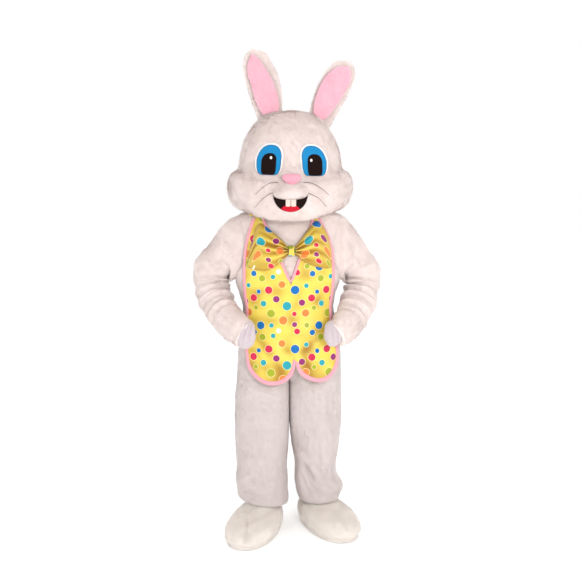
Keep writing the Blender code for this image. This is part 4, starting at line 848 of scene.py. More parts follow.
def suit_sleeves(plush, fur):
    for name, stations, folds, side, area in (
        ("sleeve_right", RIGHT_ARM, RIGHT_SLEEVE_FOLDS, 1, 0.260),
        ("sleeve_left", LEFT_ARM, LEFT_SLEEVE_FOLDS, -1, 0.278),
    ):
        path = Path(stations, side)
        around = np.linspace(0, 2 * math.pi, 97)
        along = np.linspace(-0.010, path.length + CUFF_OVER, 104)
        grid = sloped(sleeve_grid(path, folds + SLEEVE_GATHERS, along, around))
        core = path.at(along)[0][:, None]
        normals = normals_of(grid, core, True)
        fade = smooth((along - 0.02) / 0.06)[:, None]
        lift = (creased(grid, normals, SLEEVE_CREASES[side]) + 0.0015 * ripple(grid, 9 + side, 0.07)) * fade
        grid = raised(grid, normals, lift - SUIT_PILE * 0.9)
        normals = normals_of(grid, core, True)
        end = np.array([path.length + CUFF_OVER])
        wrist, back = path.at(end)[0][0], path.at(end - 0.02)[0][0]
        whole = drawn_in(grid, wrist, unit(wrist - back), 0.30, 0.006)
        shell = placed(piece("suit_" + name, whole, plush, True), "plush", name)
        tufts = pile("pile_" + name, grid, normals, int(190000 * area), SUIT_PILE, 0.0075, 0.0011, fur,
                     30 + side)


LEG_CREASES = {
    1: rows(Crease, [
        (0.052, 0.300, 0.122, 0.125, -0.018, 0.013, -0.009, 1),
        (0.085, 0.300, 0.150, 0.150, -0.016, 0.014, 0.007, 1),
        (0.040, 0.235, 0.085, 0.130, -0.008, 0.011, -0.007, 1),
        (0.110, 0.330, 0.178, 0.190, -0.014, 0.012, -0.006, 1),
        (0.155, 0.560, 0.190, 0.430, -0.010, 0.016, -0.005, 1),
        (0.050, 0.640, 0.140, 0.590, 0.012, 0.018, -0.003, 1),
        (0.060, 0.500, 0.190, 0.460, 0.014, 0.020, -0.006, -1),
        (0.050, 0.430, 0.190, 0.415, -0.016, 0.018, 0.006, -1),
        (0.070, 0.390, 0.180, 0.360, 0.010, 0.015, -0.006, -1),
        (0.060, 0.250, 0.180, 0.160, 0.016, 0.015, -0.007, -1),
        (0.040, 0.700, 0.160, 0.760, 0.016, 0.018, -0.006, -1),
    ]),
    -1: rows(Crease, [
        (-0.200, 0.200, -0.060, 0.148, 0.010, 0.012, -0.006, 1),
        (-0.205, 0.235, -0.080, 0.185, 0.012, 0.016, 0.004, 1),
        (-0.060, 0.640, -0.150, 0.600, 0.010, 0.020, -0.003, 1),
        (-0.165, 0.480, -0.185, 0.300, 0.010, 0.020, -0.003, 1),
        (-0.190, 0.510, -0.060, 0.450, 0.016, 0.020, -0.006, -1),
        (-0.185, 0.440, -0.060, 0.405, -0.014, 0.018, 0.006, -1),
        (-0.180, 0.370, -0.080, 0.350, 0.010, 0.015, -0.006, -1),
        (-0.190, 0.180, -0.070, 0.230, 0.012, 0.015, -0.006, -1),
        (-0.040, 0.690, -0.160, 0.750, -0.016, 0.018, -0.006, -1),
    ]),
}


def suit_legs(plush, fur):
    heights = np.concatenate([
        np.linspace(HIP_SEAM + 0.003, 0.62, 26)[:-1], np.linspace(0.62, CROTCH, 7)[:-1],
        np.linspace(CROTCH, 0.101, 78),
    ])
    for name, side, table, folds in (
        ("leg_right", 1, RIGHT_LEG, RIGHT_LEG_FOLDS), ("leg_left", -1, LEFT_LEG, LEFT_LEG_FOLDS)
    ):
        below = (CROTCH - heights) * (CROTCH - table[-1].height) / (CROTCH - heights[-1])
        levels = np.where(heights > CROTCH, heights, CROTCH - below)
        share = np.linspace(0, 1, 105)
        grid = leg_grid(side, table, folds, share, levels)
        eased = np.stack([evened(levels, grid[..., k], 0.020) for k in range(3)], -1)
        away = smooth(1.2 - np.abs(levels - CROTCH - 0.01) / 0.10)[:, None]
        away = smooth(np.minimum(share, 1 - share) / 0.14) * away
        grid = mix(grid, eased, away[..., None])
        core = np.array([side * 0.11, 0, 0.45])
        normals = normals_of(grid, core)
        fade = smooth((HIP_SEAM - levels) / 0.04)[:, None]
        lift = (creased(grid, normals, LEG_CREASES[side]) + 0.0012 * ripple(grid, 40 + side, 0.11)) * fade
        beside = smooth(1 - np.abs(grid[..., 0] - SUIT_MIDDLE) / 0.022)
        grid = raised(grid, normals, lift * (1 - beside) - SHORT_PILE * (1 - beside))
        normals = normals_of(grid, core)
        shell = placed(piece("suit_" + name, hemmed(grid, normals), plush), "plush", name)
        tufts = pile("pile_" + name, grid, normals, 60000, SHORT_PILE, 0.0060, 0.0010, fur, 50 + side,
                     (side * 0.11, -0.01))


LEFT_FOOT_CREASE = Crease(-0.172, 0.090, -0.186, 0.030, 0.006, 0.012, -0.012, 1)


def suit_feet(plush, fur, sole_cloth):
    for side, word, place in ((1, "right", RIGHT_FOOT), (-1, "left", LEFT_FOOT)):
        key, turn = np.linspace(0, len(FOOT) - 1, 64), np.linspace(0, 2 * math.pi, 105)
        grid = foot_grid(key, place, turn)
        core = np.array([place.x, place.y - 0.05, 0.05])
        normals = normals_of(grid, core, True)
        low = smooth((grid[..., 2] - 0.012) / 0.03)
        lift = 0.0015 * ripple(grid, 60 + side, 0.08) * low - SHORT_PILE
        if side < 0:
            lift = lift + creased(grid, normals, [LEFT_FOOT_CREASE])
        grid = raised(grid, normals, lift)
        brim = [grid[0] * [1, 1, 0] + [0, 0, z] for z in np.linspace(0.0035, grid[0, :, 2].min() - 0.001, 6)]
        grid = np.concatenate([np.array(brim), grid], 0)
        normals = normals_of(grid, core, True)
        shell = piece("suit_foot_cover_" + word, hemmed(grid, normals), plush, True)
        placed(shell, "plush", "foot_cover_" + word)
        tufts = pile("pile_foot_" + word, grid, normals, 26000, SHORT_PILE, 0.0055, 0.0010, fur, 62 + side,
                     (place.x, place.y))
        rim = foot_grid(np.zeros(1), place, turn, SOLE_INSET)[0]
        levels = [rim * [1, 1, 0] + [0, 0, z] for z in (SOLE, 0.0085, 0.002, 0.0)]
        middle = levels[-1].mean(axis=0)
        levels[0] = middle * [1, 1, 0] + (levels[0] - middle) * [0.9, 0.9, 1]
        levels += [mix(middle, levels[-1], share) for share in (0.97, 0.6, 0.3, 0.0)]
        sole = piece("sole_sheet_" + word, np.array(levels), sole_cloth, True)
        placed(sole, "sole_cloth", "sole_" + word)


MITT_GROOVES = rows(Fold, [
    (0.050, 92, 60, 0.0030, -0.0042, 0.007), (0.066, 86, 66, 0.0034, -0.0055, 0.004),
    (0.082, 84, 70, 0.0032, -0.0058, 0.001), (0.058, 90, 50, 0.0045, 0.0022, 0.005),
    (0.074, 88, 50, 0.0045, 0.0028, 0.003), (0.034, 120, 50, 0.0050, -0.0030, -0.004),
])


def suit_mitts(fleece):
    for word, stations, side in (("right", RIGHT_MITT, 1), ("left", LEFT_MITT, -1)):
        path = Path(stations, side)
        along = path.length * (1 - (1 - np.linspace(0, 1, 64)) ** 1.5)
        grid = tube(path, MITT_GROOVES, along, np.linspace(0, 2 * math.pi, 73))
        core = path.at(along)[0][:, None]
        normals = normals_of(grid, core, True)
        grid = raised(grid, normals, 0.0008 * ripple(grid, 70 + side, 0.03))
        made = placed(piece("mitt_fleece_" + word, grid, fleece, True), "mitt_fleece", "mitt_" + word)


# ------------------------------------------------------------ the head


def head_shells(plush, fur):
    top, tuck, quarter = len(HEAD) - 1, 2, HEAD_CELLS // 4
    step = 2 * math.pi / HEAD_CELLS
    upper = np.linspace(CREASE_RING, top, 66)
    lower = np.linspace(0, CREASE_RING, 52)
    for k, (name, keys, start, end, cols) in enumerate([
        ("head_crown_front", upper, 0, 2 * quarter, 112),
        ("head_crown_back", upper, 2 * quarter, 4 * quarter, 100),
        ("head_cheek_right", lower, -tuck, quarter, 64),
        ("head_cheek_left", lower, quarter, 2 * quarter + tuck, 64),
        ("head_nape", lower, 2 * quarter + tuck, 4 * quarter - tuck, 70),
    ]):
        angle = np.linspace(step * start, step * end, cols + 1)
        grid = head_grid(angle, keys)
        core = np.array(HEAD_CORE)
        normals = normals_of(grid, core)
        if keys is upper:
            normals[-1] = (0, 0, 1)
        lift = 0.0013 * ripple(grid, 80, 0.10) - HEAD_PILE
        grid = raised(grid, normals, lift)
        normals = normals_of(grid, core)
        if keys is upper:
            normals[-1] = (0, 0, 1)
        crossed = np.cross(grid[1:, 1:] - grid[:-1, :-1], grid[1:, :-1] - grid[:-1, 1:])
        area = np.linalg.norm(crossed, axis=-1).sum() / 2
        full = hemmed(grid, normals, 0.003, True) if keys is lower else grid
        shell = placed(piece("plush_" + name, full, plush), "plush", name)
        pile("pile_" + name, grid, normals, int(210000 * area), HEAD_PILE, 0.0080, 0.0011, fur, 90 + k,
             (0, 0.01))


def head_skin():
    """The tips of the head's pile, to find where a line from the front meets them."""
    return tree_of(head_grid(np.linspace(0, math.pi, 121), np.linspace(1, len(HEAD) - 1, 120)))


def front_of(trees, x, z, out=0.0):
    """The foremost meeting of lines at x and height with the skins, moved out."""
    x, z = np.broadcast_arrays(x, z)
    found = np.zeros(x.shape + (3,))
    for where in np.ndindex(x.shape):
        y = 0.0
        for tree in trees:
            hit = tree.ray_cast(Vector((float(x[where]), -1.0, float(z[where]))), Vector((0, 1, 0)))[0]
            if hit is not None:
                y = min(y, hit.y)
        found[where] = (x[where], y - out, z[where])
    return found


def patch(name, trees, centre, outline, rings, cells, out, wall, finish, puff=0.0, hang=0.0, foremost=0.0,
          edge=2.2, soft=0.0):
    """A layer on the face: an outline about a centre, rounded at its rim, domed by puff, soft at the top."""
    turn = np.linspace(0, 2 * math.pi, cells + 1)
    share = np.sin(np.linspace(0, math.pi / 2, rings + 1))[:, None]
    dx, dz = outline(turn)
    x, z = centre[0] + dx * share, centre[1] + dz * share
    face = front_of(trees, x, z)
    face[..., 1] = np.minimum(face[..., 1], foremost)
    blend = 0.5 + soft * smooth((dz / max(1e-6, dz.max()) + 0.70) * 0.75)
    dome = puff * np.maximum(0, 1 - share**edge) ** blend * (1 - hang * dz * share)
    face[..., 1] -= out + dome
    middle, parts = np.array([centre[0], 0, centre[1]]), [face]
    for back, grown in ((0.3, 1.006), (1.0, 1.004)):
        parts.append(middle + (face[-1:] + [0, back * wall, 0] - middle) * [grown, 1, grown])
    grid = np.concatenate(parts, 0)
    return piece(name, grid, finish, True), grid


def arch(half, up, down, roll=0.0, low=0.30, taper=0.15, skew=0.0):
    """An arched outline: round above, straight sided and nearly flat below."""

    def outline(turn):
        side, rise = np.cos(turn), np.sin(turn)
        x = half * power(side, np.where(rise > 0, 0.86, low))
        x = x * np.where(rise < 0, 1 - taper * np.abs(rise), 1)
        z = np.where(rise > 0, up * power(rise, 0.94), down * power(rise, 0.42))
        x = x + skew * np.maximum(z, 0)
        return x * math.cos(roll) + z * math.sin(roll), z * math.cos(roll) - x * math.sin(roll)

    return outline


def oval(half, up, down, exponent=1.0):
    def outline(turn):
        side, rise = np.cos(turn), np.sin(turn)
        return half * power(side, exponent), np.where(rise > 0, up, down) * power(rise, exponent)

    return outline


def muzzle_low(x):
    share = np.minimum(1.0, np.abs(x - MUZZLE[0]) / MUZZLE_HALF)
    return MUZZLE[1] - MUZZLE_TALL * np.sqrt(np.maximum(0.0, 1 - share ** (2 / 0.72))) ** 0.72


def strip(name, trees, xs, top, low, out, wall, rows, finish, bulge=0.0):
    """A layer on the face between an upper and a lower edge, given as heights at x."""
    share = np.linspace(0, 1, rows)[:, None]
    face = front_of(trees, xs + 0 * share, mix(top(xs), low(xs), share), out)
    face[..., 1] -= bulge * np.sin(math.pi * share)
    back = face + [0, wall, 0]
    return piece(name, np.concatenate([back[:1], face, back[-1:]], 0), finish)


def face_pieces(plush, fur, felts):
    skull = head_skin()
    roll = math.radians(1.8)
    for word, centre in (("left", LEFT_EYE), ("right", RIGHT_EYE)):
        lean, skew = (roll * 1.6, 0.13) if centre[0] < 0 else (roll * -0.4, -0.19)
        for layer, wider, taller, longer, out, wall, felt, slot, node in (
            ("eye_rim_", 0.0065, 0.0075, 0.004, 0.0006, 0.005, "white", "white_felt", "eye_white_"),
            ("eye_edge_", 0.0, 0.0, 0.009, 0.0014, 0.004, "edge", "blue_felt", "eye_blue_"),
            ("eye_iris_", -0.0018, -0.0018, 0.008, 0.0022, 0.004, "blue", "blue_felt", "eye_blue_"),
        ):
            shape = arch(EYE_HALF + wider, EYE_UP + taller, EYE_DOWN + longer, lean, skew=skew)
            made, _ = patch(layer + word, [skull], centre, shape, 6, 56, out, wall, felts[felt])
            placed(made, slot, node + word)
        pupil = (centre[0] + (0.0 if centre[0] < 0 else 0.002), centre[1] - 0.002)
        right = centre[0] < 0
        dark = arch(PUPIL_HALF, PUPIL_UP, PUPIL_DOWN + 0.010, lean, 0.24, 0.0, 0.14 if right else -0.08)
        made, _ = patch("eye_pupil_" + word, [skull], pupil, dark, 6, 48, 0.0034, 0.004, felts["black"])
        placed(made, "black_felt", "pupil_" + word)
        light = (centre[0] + (0.009 if right else -0.013), centre[1] + (0.010 if right else 0.004))
        made, _ = patch("eye_light_dot_" + word, [skull], light, oval(0.0046, 0.0060, 0.0060), 4, 24,
                        0.0046, 0.003, felts["white"], puff=0.001)
        placed(made, "white_felt", "eye_light_" + word)
    made, muzzle = patch("muzzle_puff", [skull], MUZZLE, muzzle_outline, 34, 96, -0.0050, 0.004, plush,
                         MUZZLE_PUFF,
                         9.0, soft=1.0)
    placed(made, "plush", "muzzle")
    normals = normals_of(muzzle[:-2], np.array([MUZZLE[0], -0.15, MUZZLE[1]]), True)
    normals[0] = (0, -1, 0)
    pile("pile_muzzle", muzzle[:-2], normals, 7000, 0.0036, 0.0055, 0.0010, fur, 120)
    both = [skull, tree_of(muzzle[:-2])]
    made, _ = patch("nose_pad", both, NOSE, nose_outline, 14, 48, 0.0016, 0.010, felts["pink"], 0.0135,
                       foremost=-0.238, edge=2.6)
    placed(made, "pink_plush", "nose")

    def lip(x):
        return muzzle_low(x) + 0.004

    def chin(x):
        share = (x - MUZZLE[0]) / MOUTH_HALF
        return np.minimum(lip(x) - 0.002, mix(lip(x), MOUTH_LOW, np.maximum(0.0, 1 - share * share) ** 0.6))

    xs = MUZZLE[0] + MOUTH_HALF * np.sin(np.linspace(-math.pi / 2, math.pi / 2, 61))
    made = strip("mouth_felt", [skull], xs, lip, chin, 0.0012, 0.004, 13, felts["black"])
    placed(made, "black_felt", "mouth")

    def tongue_top(x):
        share = np.abs((x - MUZZLE[0]) / TONGUE_HALF)
        dip = TONGUE_TOP - 0.003 + 0.005 * np.sin(math.pi * share) - 0.010 * share**4
        return np.maximum(dip, chin(x) + 0.0010)

    def tongue_low(x):
        return chin(x) + 0.0004

    xs = MUZZLE[0] + TONGUE_HALF * np.sin(np.linspace(-math.pi / 2, math.pi / 2, 49))
    made = strip("tongue_felt", [skull], xs, tongue_top, tongue_low, 0.0022, 0.004, 9, felts["red"], 0.0015)
    placed(made, "red_felt", "tongue")
    for name, start, end in TEETH:
        xs = np.linspace(start + 0.0006, end - 0.0006, 9)
        middle, half = (start + end) / 2, (end - start) / 2

        def tooth_low(x):
            return TOOTH_LOW + 0.003 * np.abs((x - middle) / half) ** 3

        made = strip(name + "_felt", [skull], xs, lip, tooth_low, 0.0050, 0.005, 9, felts["tooth"], 0.0015)
        placed(made, "white_felt", name)
    for whisker in WHISKERS:
        t = np.linspace(0, len(whisker.spots) - 1, 17)
        curve = read(counted([Spot(x, z) for x, z in whisker.spots]), t)
        way = front_of(both, curve.x, curve.z)
        way[:, 1] -= 0.0014 + 0.0045 * np.minimum(t, 2)
        run = unit(np.gradient(way, axis=0))
        side = unit(np.cross(run, [0, 1, 0]))
        turn = np.linspace(0, 2 * math.pi, 7)[:, None]
        thick = (WHISKER_RADIUS * (1.35 - 0.65 * t / t[-1]))[:, None, None]
        round_it = side[:, None] * np.cos(turn) + np.cross(run, side)[:, None] * np.sin(turn)
        grid = way[:, None] + round_it * thick
        placed(piece(whisker.name + "_hair", grid, felts["cord"], True), "whisker_cord", whisker.name)


def muzzle_outline(turn):
    """Flat and wide below, along the mouth, and narrower above, up to the sides of the nose."""
    side, rise = power(np.cos(turn), 0.72), power(np.sin(turn), 0.72)
    x = MUZZLE_HALF * side * (1 - 0.30 * smooth(rise * 1.1))
    return x, MUZZLE_TALL * np.where(rise > 0, 1.22, 1.0) * rise


def nose_outline(turn):
    """A rounded triangle, point down."""
    side, rise = np.cos(turn), np.sin(turn)
    x = NOSE_HALF * power(side, 0.80) * np.where(rise < 0, 1 - 0.48 * np.abs(rise) ** 1.5, 1)
    return x, np.where(rise > 0, 0.0158 * power(rise, 0.70), 0.0262 * power(rise, 0.95))


# The ear's lining: place up it, and its reach to the head's side and to the outer side, as a share of the
# ear's half width.
Leaf = namedtuple("Leaf", "place inner outer")
LINING = {
    "left": rows(Leaf, [
        (0.0, 0.55, 0.45), (0.14, 0.74, 0.68), (0.28, 0.76, 0.76), (0.51, 0.62, 0.77), (0.76, 0.44, 0.76),
        (0.90, 0.32, 0.62), (1.0, 0.18, 0.42),
    ]),
    "right": rows(Leaf, [
        (0.0, 0.45, 0.50), (0.15, 0.72, 0.68), (0.35, 0.80, 0.76), (0.63, 0.80, 0.80), (0.82, 0.70, 0.76),
        (0.93, 0.52, 0.66), (1.0, 0.30, 0.48),
    ]),
}
LINING_FOOT = 0.050
# The row of the ear's grid from which its foot runs straight down to the skull.
EAR_RISE = 24


def ears(plush, fur, pink, pink_fur):
    skull = tree_of(head_grid(np.linspace(0, 2 * math.pi, 121), np.linspace(6, len(HEAD) - 1, 90)))
    for word, stations, side in (("right", RIGHT_EAR, 1), ("left", LEFT_EAR, -1)):
        path = Path(stations, side)
        along = path.length * (1 - (1 - np.linspace(0, 1, 64)) ** 1.4)
        turn = np.linspace(0, 2 * math.pi, 81)
        column, front = np.cos(turn), np.sin(turn) > 0
        centre, inner, ahead, row = path.at(along[:, None] + 0 * turn)
        edge = np.sqrt(np.maximum(0, 1 - column**2))
        depth = row.deep * np.where(front, 0.55 * edge - 0.35 * edge**3, -(edge**0.8))
        grid = centre + inner * (side * (row.across - 0.0060) * column)[..., None] + ahead * depth[..., None]
        for c in range(grid.shape[1]):
            down = unit(grid[0, c] - grid[EAR_RISE, c])
            hit = skull.ray_cast(Vector(grid[EAR_RISE, c]), Vector(down))[0]
            foot = np.array(hit) + down * 0.006 if hit is not None else grid[0, c]
            share = np.linspace(0, 1, EAR_RISE)[:, None]
            grid[:EAR_RISE, c] = foot + (grid[EAR_RISE, c] - foot) * share
        for _ in range(60):
            grid[6:46] = (grid[5:45] + 2 * grid[6:46] + grid[7:47]) / 4
        normals = normals_of(grid, centre, True)
        grid = raised(grid, normals, 0.0010 * ripple(grid, 130 + side, 0.06) - 0.001)
        normals = normals_of(grid, centre, True)
        shell = placed(piece("plush_ear_" + word, grid, plush, True), "plush", "ear_" + word)
        pile("pile_ear_" + word, grid[:-5], normals[:-5], 17000, 0.0040, 0.0065, 0.0011, fur, 132 + side,
             (stations[0].x, 0.02))
        share, place = np.linspace(0, 1, 25), 0.5 - 0.5 * np.cos(np.linspace(0, math.pi, 60))
        height = mix(LINING_FOOT, path.length - 0.030, place)
        leaf = read(LINING[word], place)
        middle, half = (leaf.outer - leaf.inner) / 2, 0.87 * (leaf.outer + leaf.inner) / 2
        half = half * np.sqrt(np.clip(1 - ((place - 0.86) / 0.14).clip(0, 1) ** 2, 0, 1))
        half = half * np.sqrt(np.clip(1 - ((0.16 - place) / 0.16).clip(0, 1) ** 2, 0, 1))
        column = side * (middle[:, None] + half[:, None] * (2 * share - 1))
        centre, inner, ahead, row = path.at(height[:, None] + 0 * share)
        spots = centre + inner * (side * row.across * column)[..., None]
        lining = front_of([tree_of(grid)], spots[..., 0], spots[..., 2], 0.0032)
        lining[..., 1] -= (1 - np.abs(2 * share - 1) ** 6) * 0.0012
        rim = np.concatenate([lining[:, :1] + [0, 0.003, 0], lining, lining[:, -1:] + [0, 0.003, 0]], 1)
        made = placed(piece("ear_lining_cloth_" + word, rim, pink), "pink_plush", "ear_lining_" + word)
        normals = normals_of(lining, lining + np.array([0, 1.0, 0]))
        tufts = pile("pile_lining_" + word, lining, normals, 9000, 0.0022, 0.0042, 0.0009, pink_fur,
                     136 + side,
                     (stations[0].x, 0.02), "pink_plush")


# ------------------------------------------------------------ vest and bow


VEST_CREASES = rows(Crease, [
    (0.150, 0.815, 0.040, 0.735, -0.012, 0.014, -0.007, 1),
    (0.165, 0.800, 0.085, 0.690, -0.010, 0.015, 0.006, 1),
    (0.170, 0.880, 0.080, 0.800, -0.010, 0.013, -0.004, 1),
    (-0.045, 1.036, 0.004, 1.024, -0.004, 0.005, -0.004, 1),
    (-0.150, 0.810, -0.080, 0.720, 0.012, 0.016, -0.006, 1),
    (-0.125, 0.820, -0.030, 0.690, 0.014, 0.018, 0.005, 1),
    (-0.160, 0.930, -0.100, 1.010, 0.008, 0.014, -0.004, 1),
    (-0.160, 0.760, -0.090, 0.655, 0.008, 0.013, -0.005, 1),
    (0.150, 1.000, 0.100, 0.930, -0.006, 0.014, -0.003, 1),
    (0.030, 0.760, 0.075, 0.660, 0.008, 0.014, -0.005, 1),
    (-0.020, 0.760, 0.015, 0.715, 0.004, 0.010, -0.004, 1),
])


def v_spot(height, right, out=0.0):
    corner, way = (V_RIGHT, 1) if right else (V_LEFT, -1)
    share = (height - V_LOW[1]) / (corner[1] - V_LOW[1])
    return np.stack([V_LOW[0] + (corner[0] - V_LOW[0]) * share + way * out, height + 0 * share], -1)


def vest_side(height, right):
    row = read(VEST, height)
    return np.stack([row.right if right else row.left, height + 0 * row.left], -1)


def hem_spots(right, cells):
    low = RIGHT_LOBE if right else LEFT_LOBE
    side = vest_side(np.array(SIDE_END), right)[0]
    turn = np.linspace(0, math.pi, cells + 1)
    first = turn <= math.pi / 2
    reach, top = np.where(first, side - low[0], low[0] - NOTCH[0]), np.where(first, SIDE_END, NOTCH[1])
    return np.stack([low[0] + reach * np.cos(turn), top - (top - low[1]) * np.sin(turn)], -1)


def inset(line, distance):
    run = unit(np.gradient(line, axis=0))
    return line + np.stack([-run[:, 1], run[:, 0]], -1) * np.asarray(distance)[..., None]


def cloth_metres(spots, lift=VEST_LIFT):
    """The print's place at spots: metres of cloth from the middle line round the body, and the height."""
    t = np.linspace(0, 1, 33)
    line = drape_point(spots[..., :1] * t, spots[..., 1:], lift)
    run = np.linalg.norm(np.diff(line, axis=-2), axis=-1).sum(-1) * np.sign(spots[..., 0])
    return np.stack([run + PRINT_AT[0], spots[..., 1] + PRINT_AT[1]], -1)


PRINT_AT = (0.1374, -0.8216)


def draped(spots, lift):
    """Points and normals on the suit's front, with the vest's creases."""
    base = drape_point(spots[..., 0], spots[..., 1], lift)
    ahead = drape_point(spots[..., 0], spots[..., 1], np.asarray(lift) + 0.001)
    normals = unit(ahead - base)
    folds = 1.7 * creased(base, normals, VEST_CREASES)
    wave = 0.0016 * ripple(base, 150, 0.08)
    hang = smooth((0.80 - spots[..., 1]) / 0.12) * 0.0050 * np.sin(spots[..., 0] * 52 + 0.6)
    return raised(base, normals, np.maximum(folds + wave + hang, -0.0028)), normals


def vest(satin, pink):
    edge = np.concatenate([
        vest_side(np.linspace(VEST_TOP, SIDE_END, 64)[:-1], False), hem_spots(False, 30),
        hem_spots(True, 30)[::-1][1:], vest_side(np.linspace(SIDE_END, VEST_TOP, 64)[1:], True),
    ])
    mitre = V_LOW[1] - V_MITRE
    v_out = V_MITRE * (V_RIGHT[0] - V_LEFT[0]) / 2 / (V_RIGHT[1] - V_LOW[1])
    panel_edge = inset(edge, BINDING - 0.003)
    levels = np.concatenate([np.linspace(SIDE_END, mitre, 44), np.linspace(mitre, VEST_TOP, 40)[1:]])
    halves = []
    for right in (False, True):
        side_x = np.interp(levels, *vest_side_line(right)) + (-1 if right else 1) * (BINDING - 0.003)
        hem = panel_edge[93:124][::-1] if right else panel_edge[63:94]
        notch = panel_edge[93]
        share = np.linspace(0, 1, 31)
        low = np.clip((levels - levels[0]) / (mitre - levels[0]), 0, 1)
        v_x = v_spot(np.maximum(levels, mitre), right, v_out - 0.002)[:, 0]
        middle_x = np.where(levels <= mitre, mix(notch[0], V_LOW[0], low), v_x)
        middle_z = np.where(levels <= mitre, mix(notch[1], mitre, low), levels)
        x = mix(side_x[:, None], middle_x[:, None], share)
        z = mix(levels[:, None], middle_z[:, None], share)
        fade = np.maximum(0, 1 - (levels - levels[0]) / 0.16)[:, None] ** 2
        straight = np.stack([x[0], z[0]], -1)
        x = x + (hem[:, 0] - straight[:, 0]) * fade
        z = z + (hem[:, 1] - straight[:, 1]) * fade
        halves.append(np.stack([x, z], -1))
    spots = np.concatenate([halves[0], halves[1][:, ::-1][:, 1:]], 1)
    joined = levels <= mitre + 1e-9
    last = int(joined.sum()) - 1
    made = []
    for part in (spots[joined], halves[0][last:], halves[1][:, ::-1][last:]):
        grid, normals = draped(part, VEST_LIFT)
        # The satin's painted shade: gold in the creases' hollows and along the lower lobes.
        tone = satin_painted_shade(part, grid, normals)
        made.append(piece("vest_satin", grid, satin, uv=cloth_metres(part), tone=tone))
    body = placed(merged(made), "dotted_satin", "vest_front")
    hem = smooth((0.74 - edge[:, 1]) / 0.10)
    bind = tape("vest_edge_tape", edge, 0.0016 - 0.0030 * hem, BINDING + 0.0015 + 0.0050 * hem, pink)
    placed(bind, "pink_satin", "vest_binding_edge")
    ups = np.linspace(VEST_TOP, V_LOW[1], 40)
    v_line = np.concatenate([v_spot(ups, False), v_spot(ups[::-1][1:], True)])
    v_bind = tape("vest_neck_tape", v_line, -0.0012, -v_out * 0.98, pink)
    placed(v_bind, "pink_satin", "vest_binding_neck")


def satin_painted_shade(spots, points, normals):
    """How deep the satin's gold is: painted shade in the hollows of the creases and along the lower lobes,
    and gold tone in soft patches at random.
    """
    folds = creased(points, normals, VEST_CREASES)
    low = smooth((0.735 - spots[..., 1]) / 0.10)
    hang = np.sin(spots[..., 0] * 52 + 0.6) * smooth((0.80 - spots[..., 1]) / 0.12)
    return np.clip(0.12 + 0.22 * ripple(points, 151, 0.07) + 0.46 * low - 0.24 * hang - 85 * folds, 0, 1)


def vest_side_line(right):
    heights = np.linspace(SIDE_END, VEST_TOP, 60)
    return heights, vest_side(heights, right)[:, 0]


def merged(pieces):
    """Several meshes as one, with their touching edges joined."""
    body = bmesh.new()
    for made in pieces:
        body.from_mesh(made.data)
    bmesh.ops.remove_doubles(body, verts=body.verts, dist=1e-5)
    body.to_mesh(pieces[0].data)
    body.free()
    for made in pieces[1:]:
        bpy.data.objects.remove(made)
    pieces[0].data.shade_smooth()
    return pieces[0]


# The binding's profile: share of its width, and lift off the vest.
TAPE = [
    (-0.02, -0.0012), (-0.06, 0.0016), (0.02, 0.0030), (0.20, 0.0036), (0.45, 0.0034), (0.70, 0.0030),
    (0.90, 0.0018), (0.97, 0.0003),
]


def tape(name, line, start, width, finish):
    """A folded binding along a line of (x, height) spots: a rounded strip, wrapped over the edge."""
    columns = []
    run = np.concatenate([[0], np.cumsum(np.linalg.norm(np.diff(line, axis=0), axis=1))])
    pucker = 0.0004 * np.sin(run * 900) + 0.0003 * np.sin(run * 410 + 1)
    for share, lift in TAPE:
        spots = inset(line, start + share * width)
        points, _ = draped(spots, VEST_LIFT + lift + (pucker if 0 < share < 0.95 else 0))
        columns.append(points)
    grid = np.stack(columns, 1)
    uv = np.stack([run[:, None] + 0 * grid[..., 0], 0 * grid[..., 0] + np.arange(grid.shape[1]) * 0.002], -1)
    return piece(name, grid, finish, uv=uv)


def strap(satin):
    row = read(STRAP, np.linspace(0, 1, 90))
    share = np.linspace(0, 1, 9)
    turn = np.radians(mix(row.outer_turn[:, None], row.inner_turn[:, None], share))
    ring = read(counted(BODY), mix(row.outer_ring[:, None], row.inner_ring[:, None], share))
    grid = ring_point(ring, turn)
    normals = normals_of(grid, np.array([0, 0, 1.2]))
    grid = raised(grid, normals, STRAP_LIFT - 0.0006 + 0.0005 * ripple(grid, 160, 0.04))
    run = np.concatenate([[0], np.cumsum(np.linalg.norm(np.diff(grid[:, 4], axis=0), axis=1))])
    uv = np.stack([0 * grid[..., 0] + np.linspace(0, 0.03, 9), run[:, None] + 0 * grid[..., 0]], -1)
    under = grid - normals * 0.0015
    grid = np.concatenate([under[:, :1], grid, under[:, -1:]], 1)
    uv = np.concatenate([uv[:, :1], uv, uv[:, -1:]], 1)
    made = placed(piece("vest_strap_satin", grid, satin, uv=uv), "dotted_satin", "vest_strap")


# The bow's pleats: place across a loop from its lower edge (-1) to its upper (1), how far out from
# the knot it fades, its width and its depth.
Pleat = namedtuple("Pleat", "across fades width depth")
RIGHT_PLEATS = rows(Pleat, [
    (-0.78, 3.4, 0.10, -0.0090), (-0.52, 2.6, 0.08, 0.0070), (-0.30, 4.8, 0.10, -0.0150),
    (-0.05, 3.0, 0.09, 0.0080), (0.16, 4.2, 0.09, -0.0140), (0.40, 2.6, 0.08, 0.0070),
    (0.58, 3.2, 0.09, -0.0100), (0.80, 2.4, 0.08, 0.0060),
])
LEFT_PLEATS = rows(Pleat, [
    (-0.70, 2.8, 0.10, -0.0090), (-0.42, 3.2, 0.10, 0.0080), (-0.14, 3.4, 0.09, -0.0130),
    (0.06, 3.6, 0.08, 0.0080), (0.24, 5.6, 0.10, -0.0180), (0.46, 3.0, 0.08, 0.0075),
    (0.64, 3.4, 0.09, -0.0120), (0.84, 2.2, 0.08, 0.0060),
])


def doubled(field):
    """A field over a loop's front, and again over its back from the far edge."""
    return np.concatenate([field, field[:, ::-1]], 1)


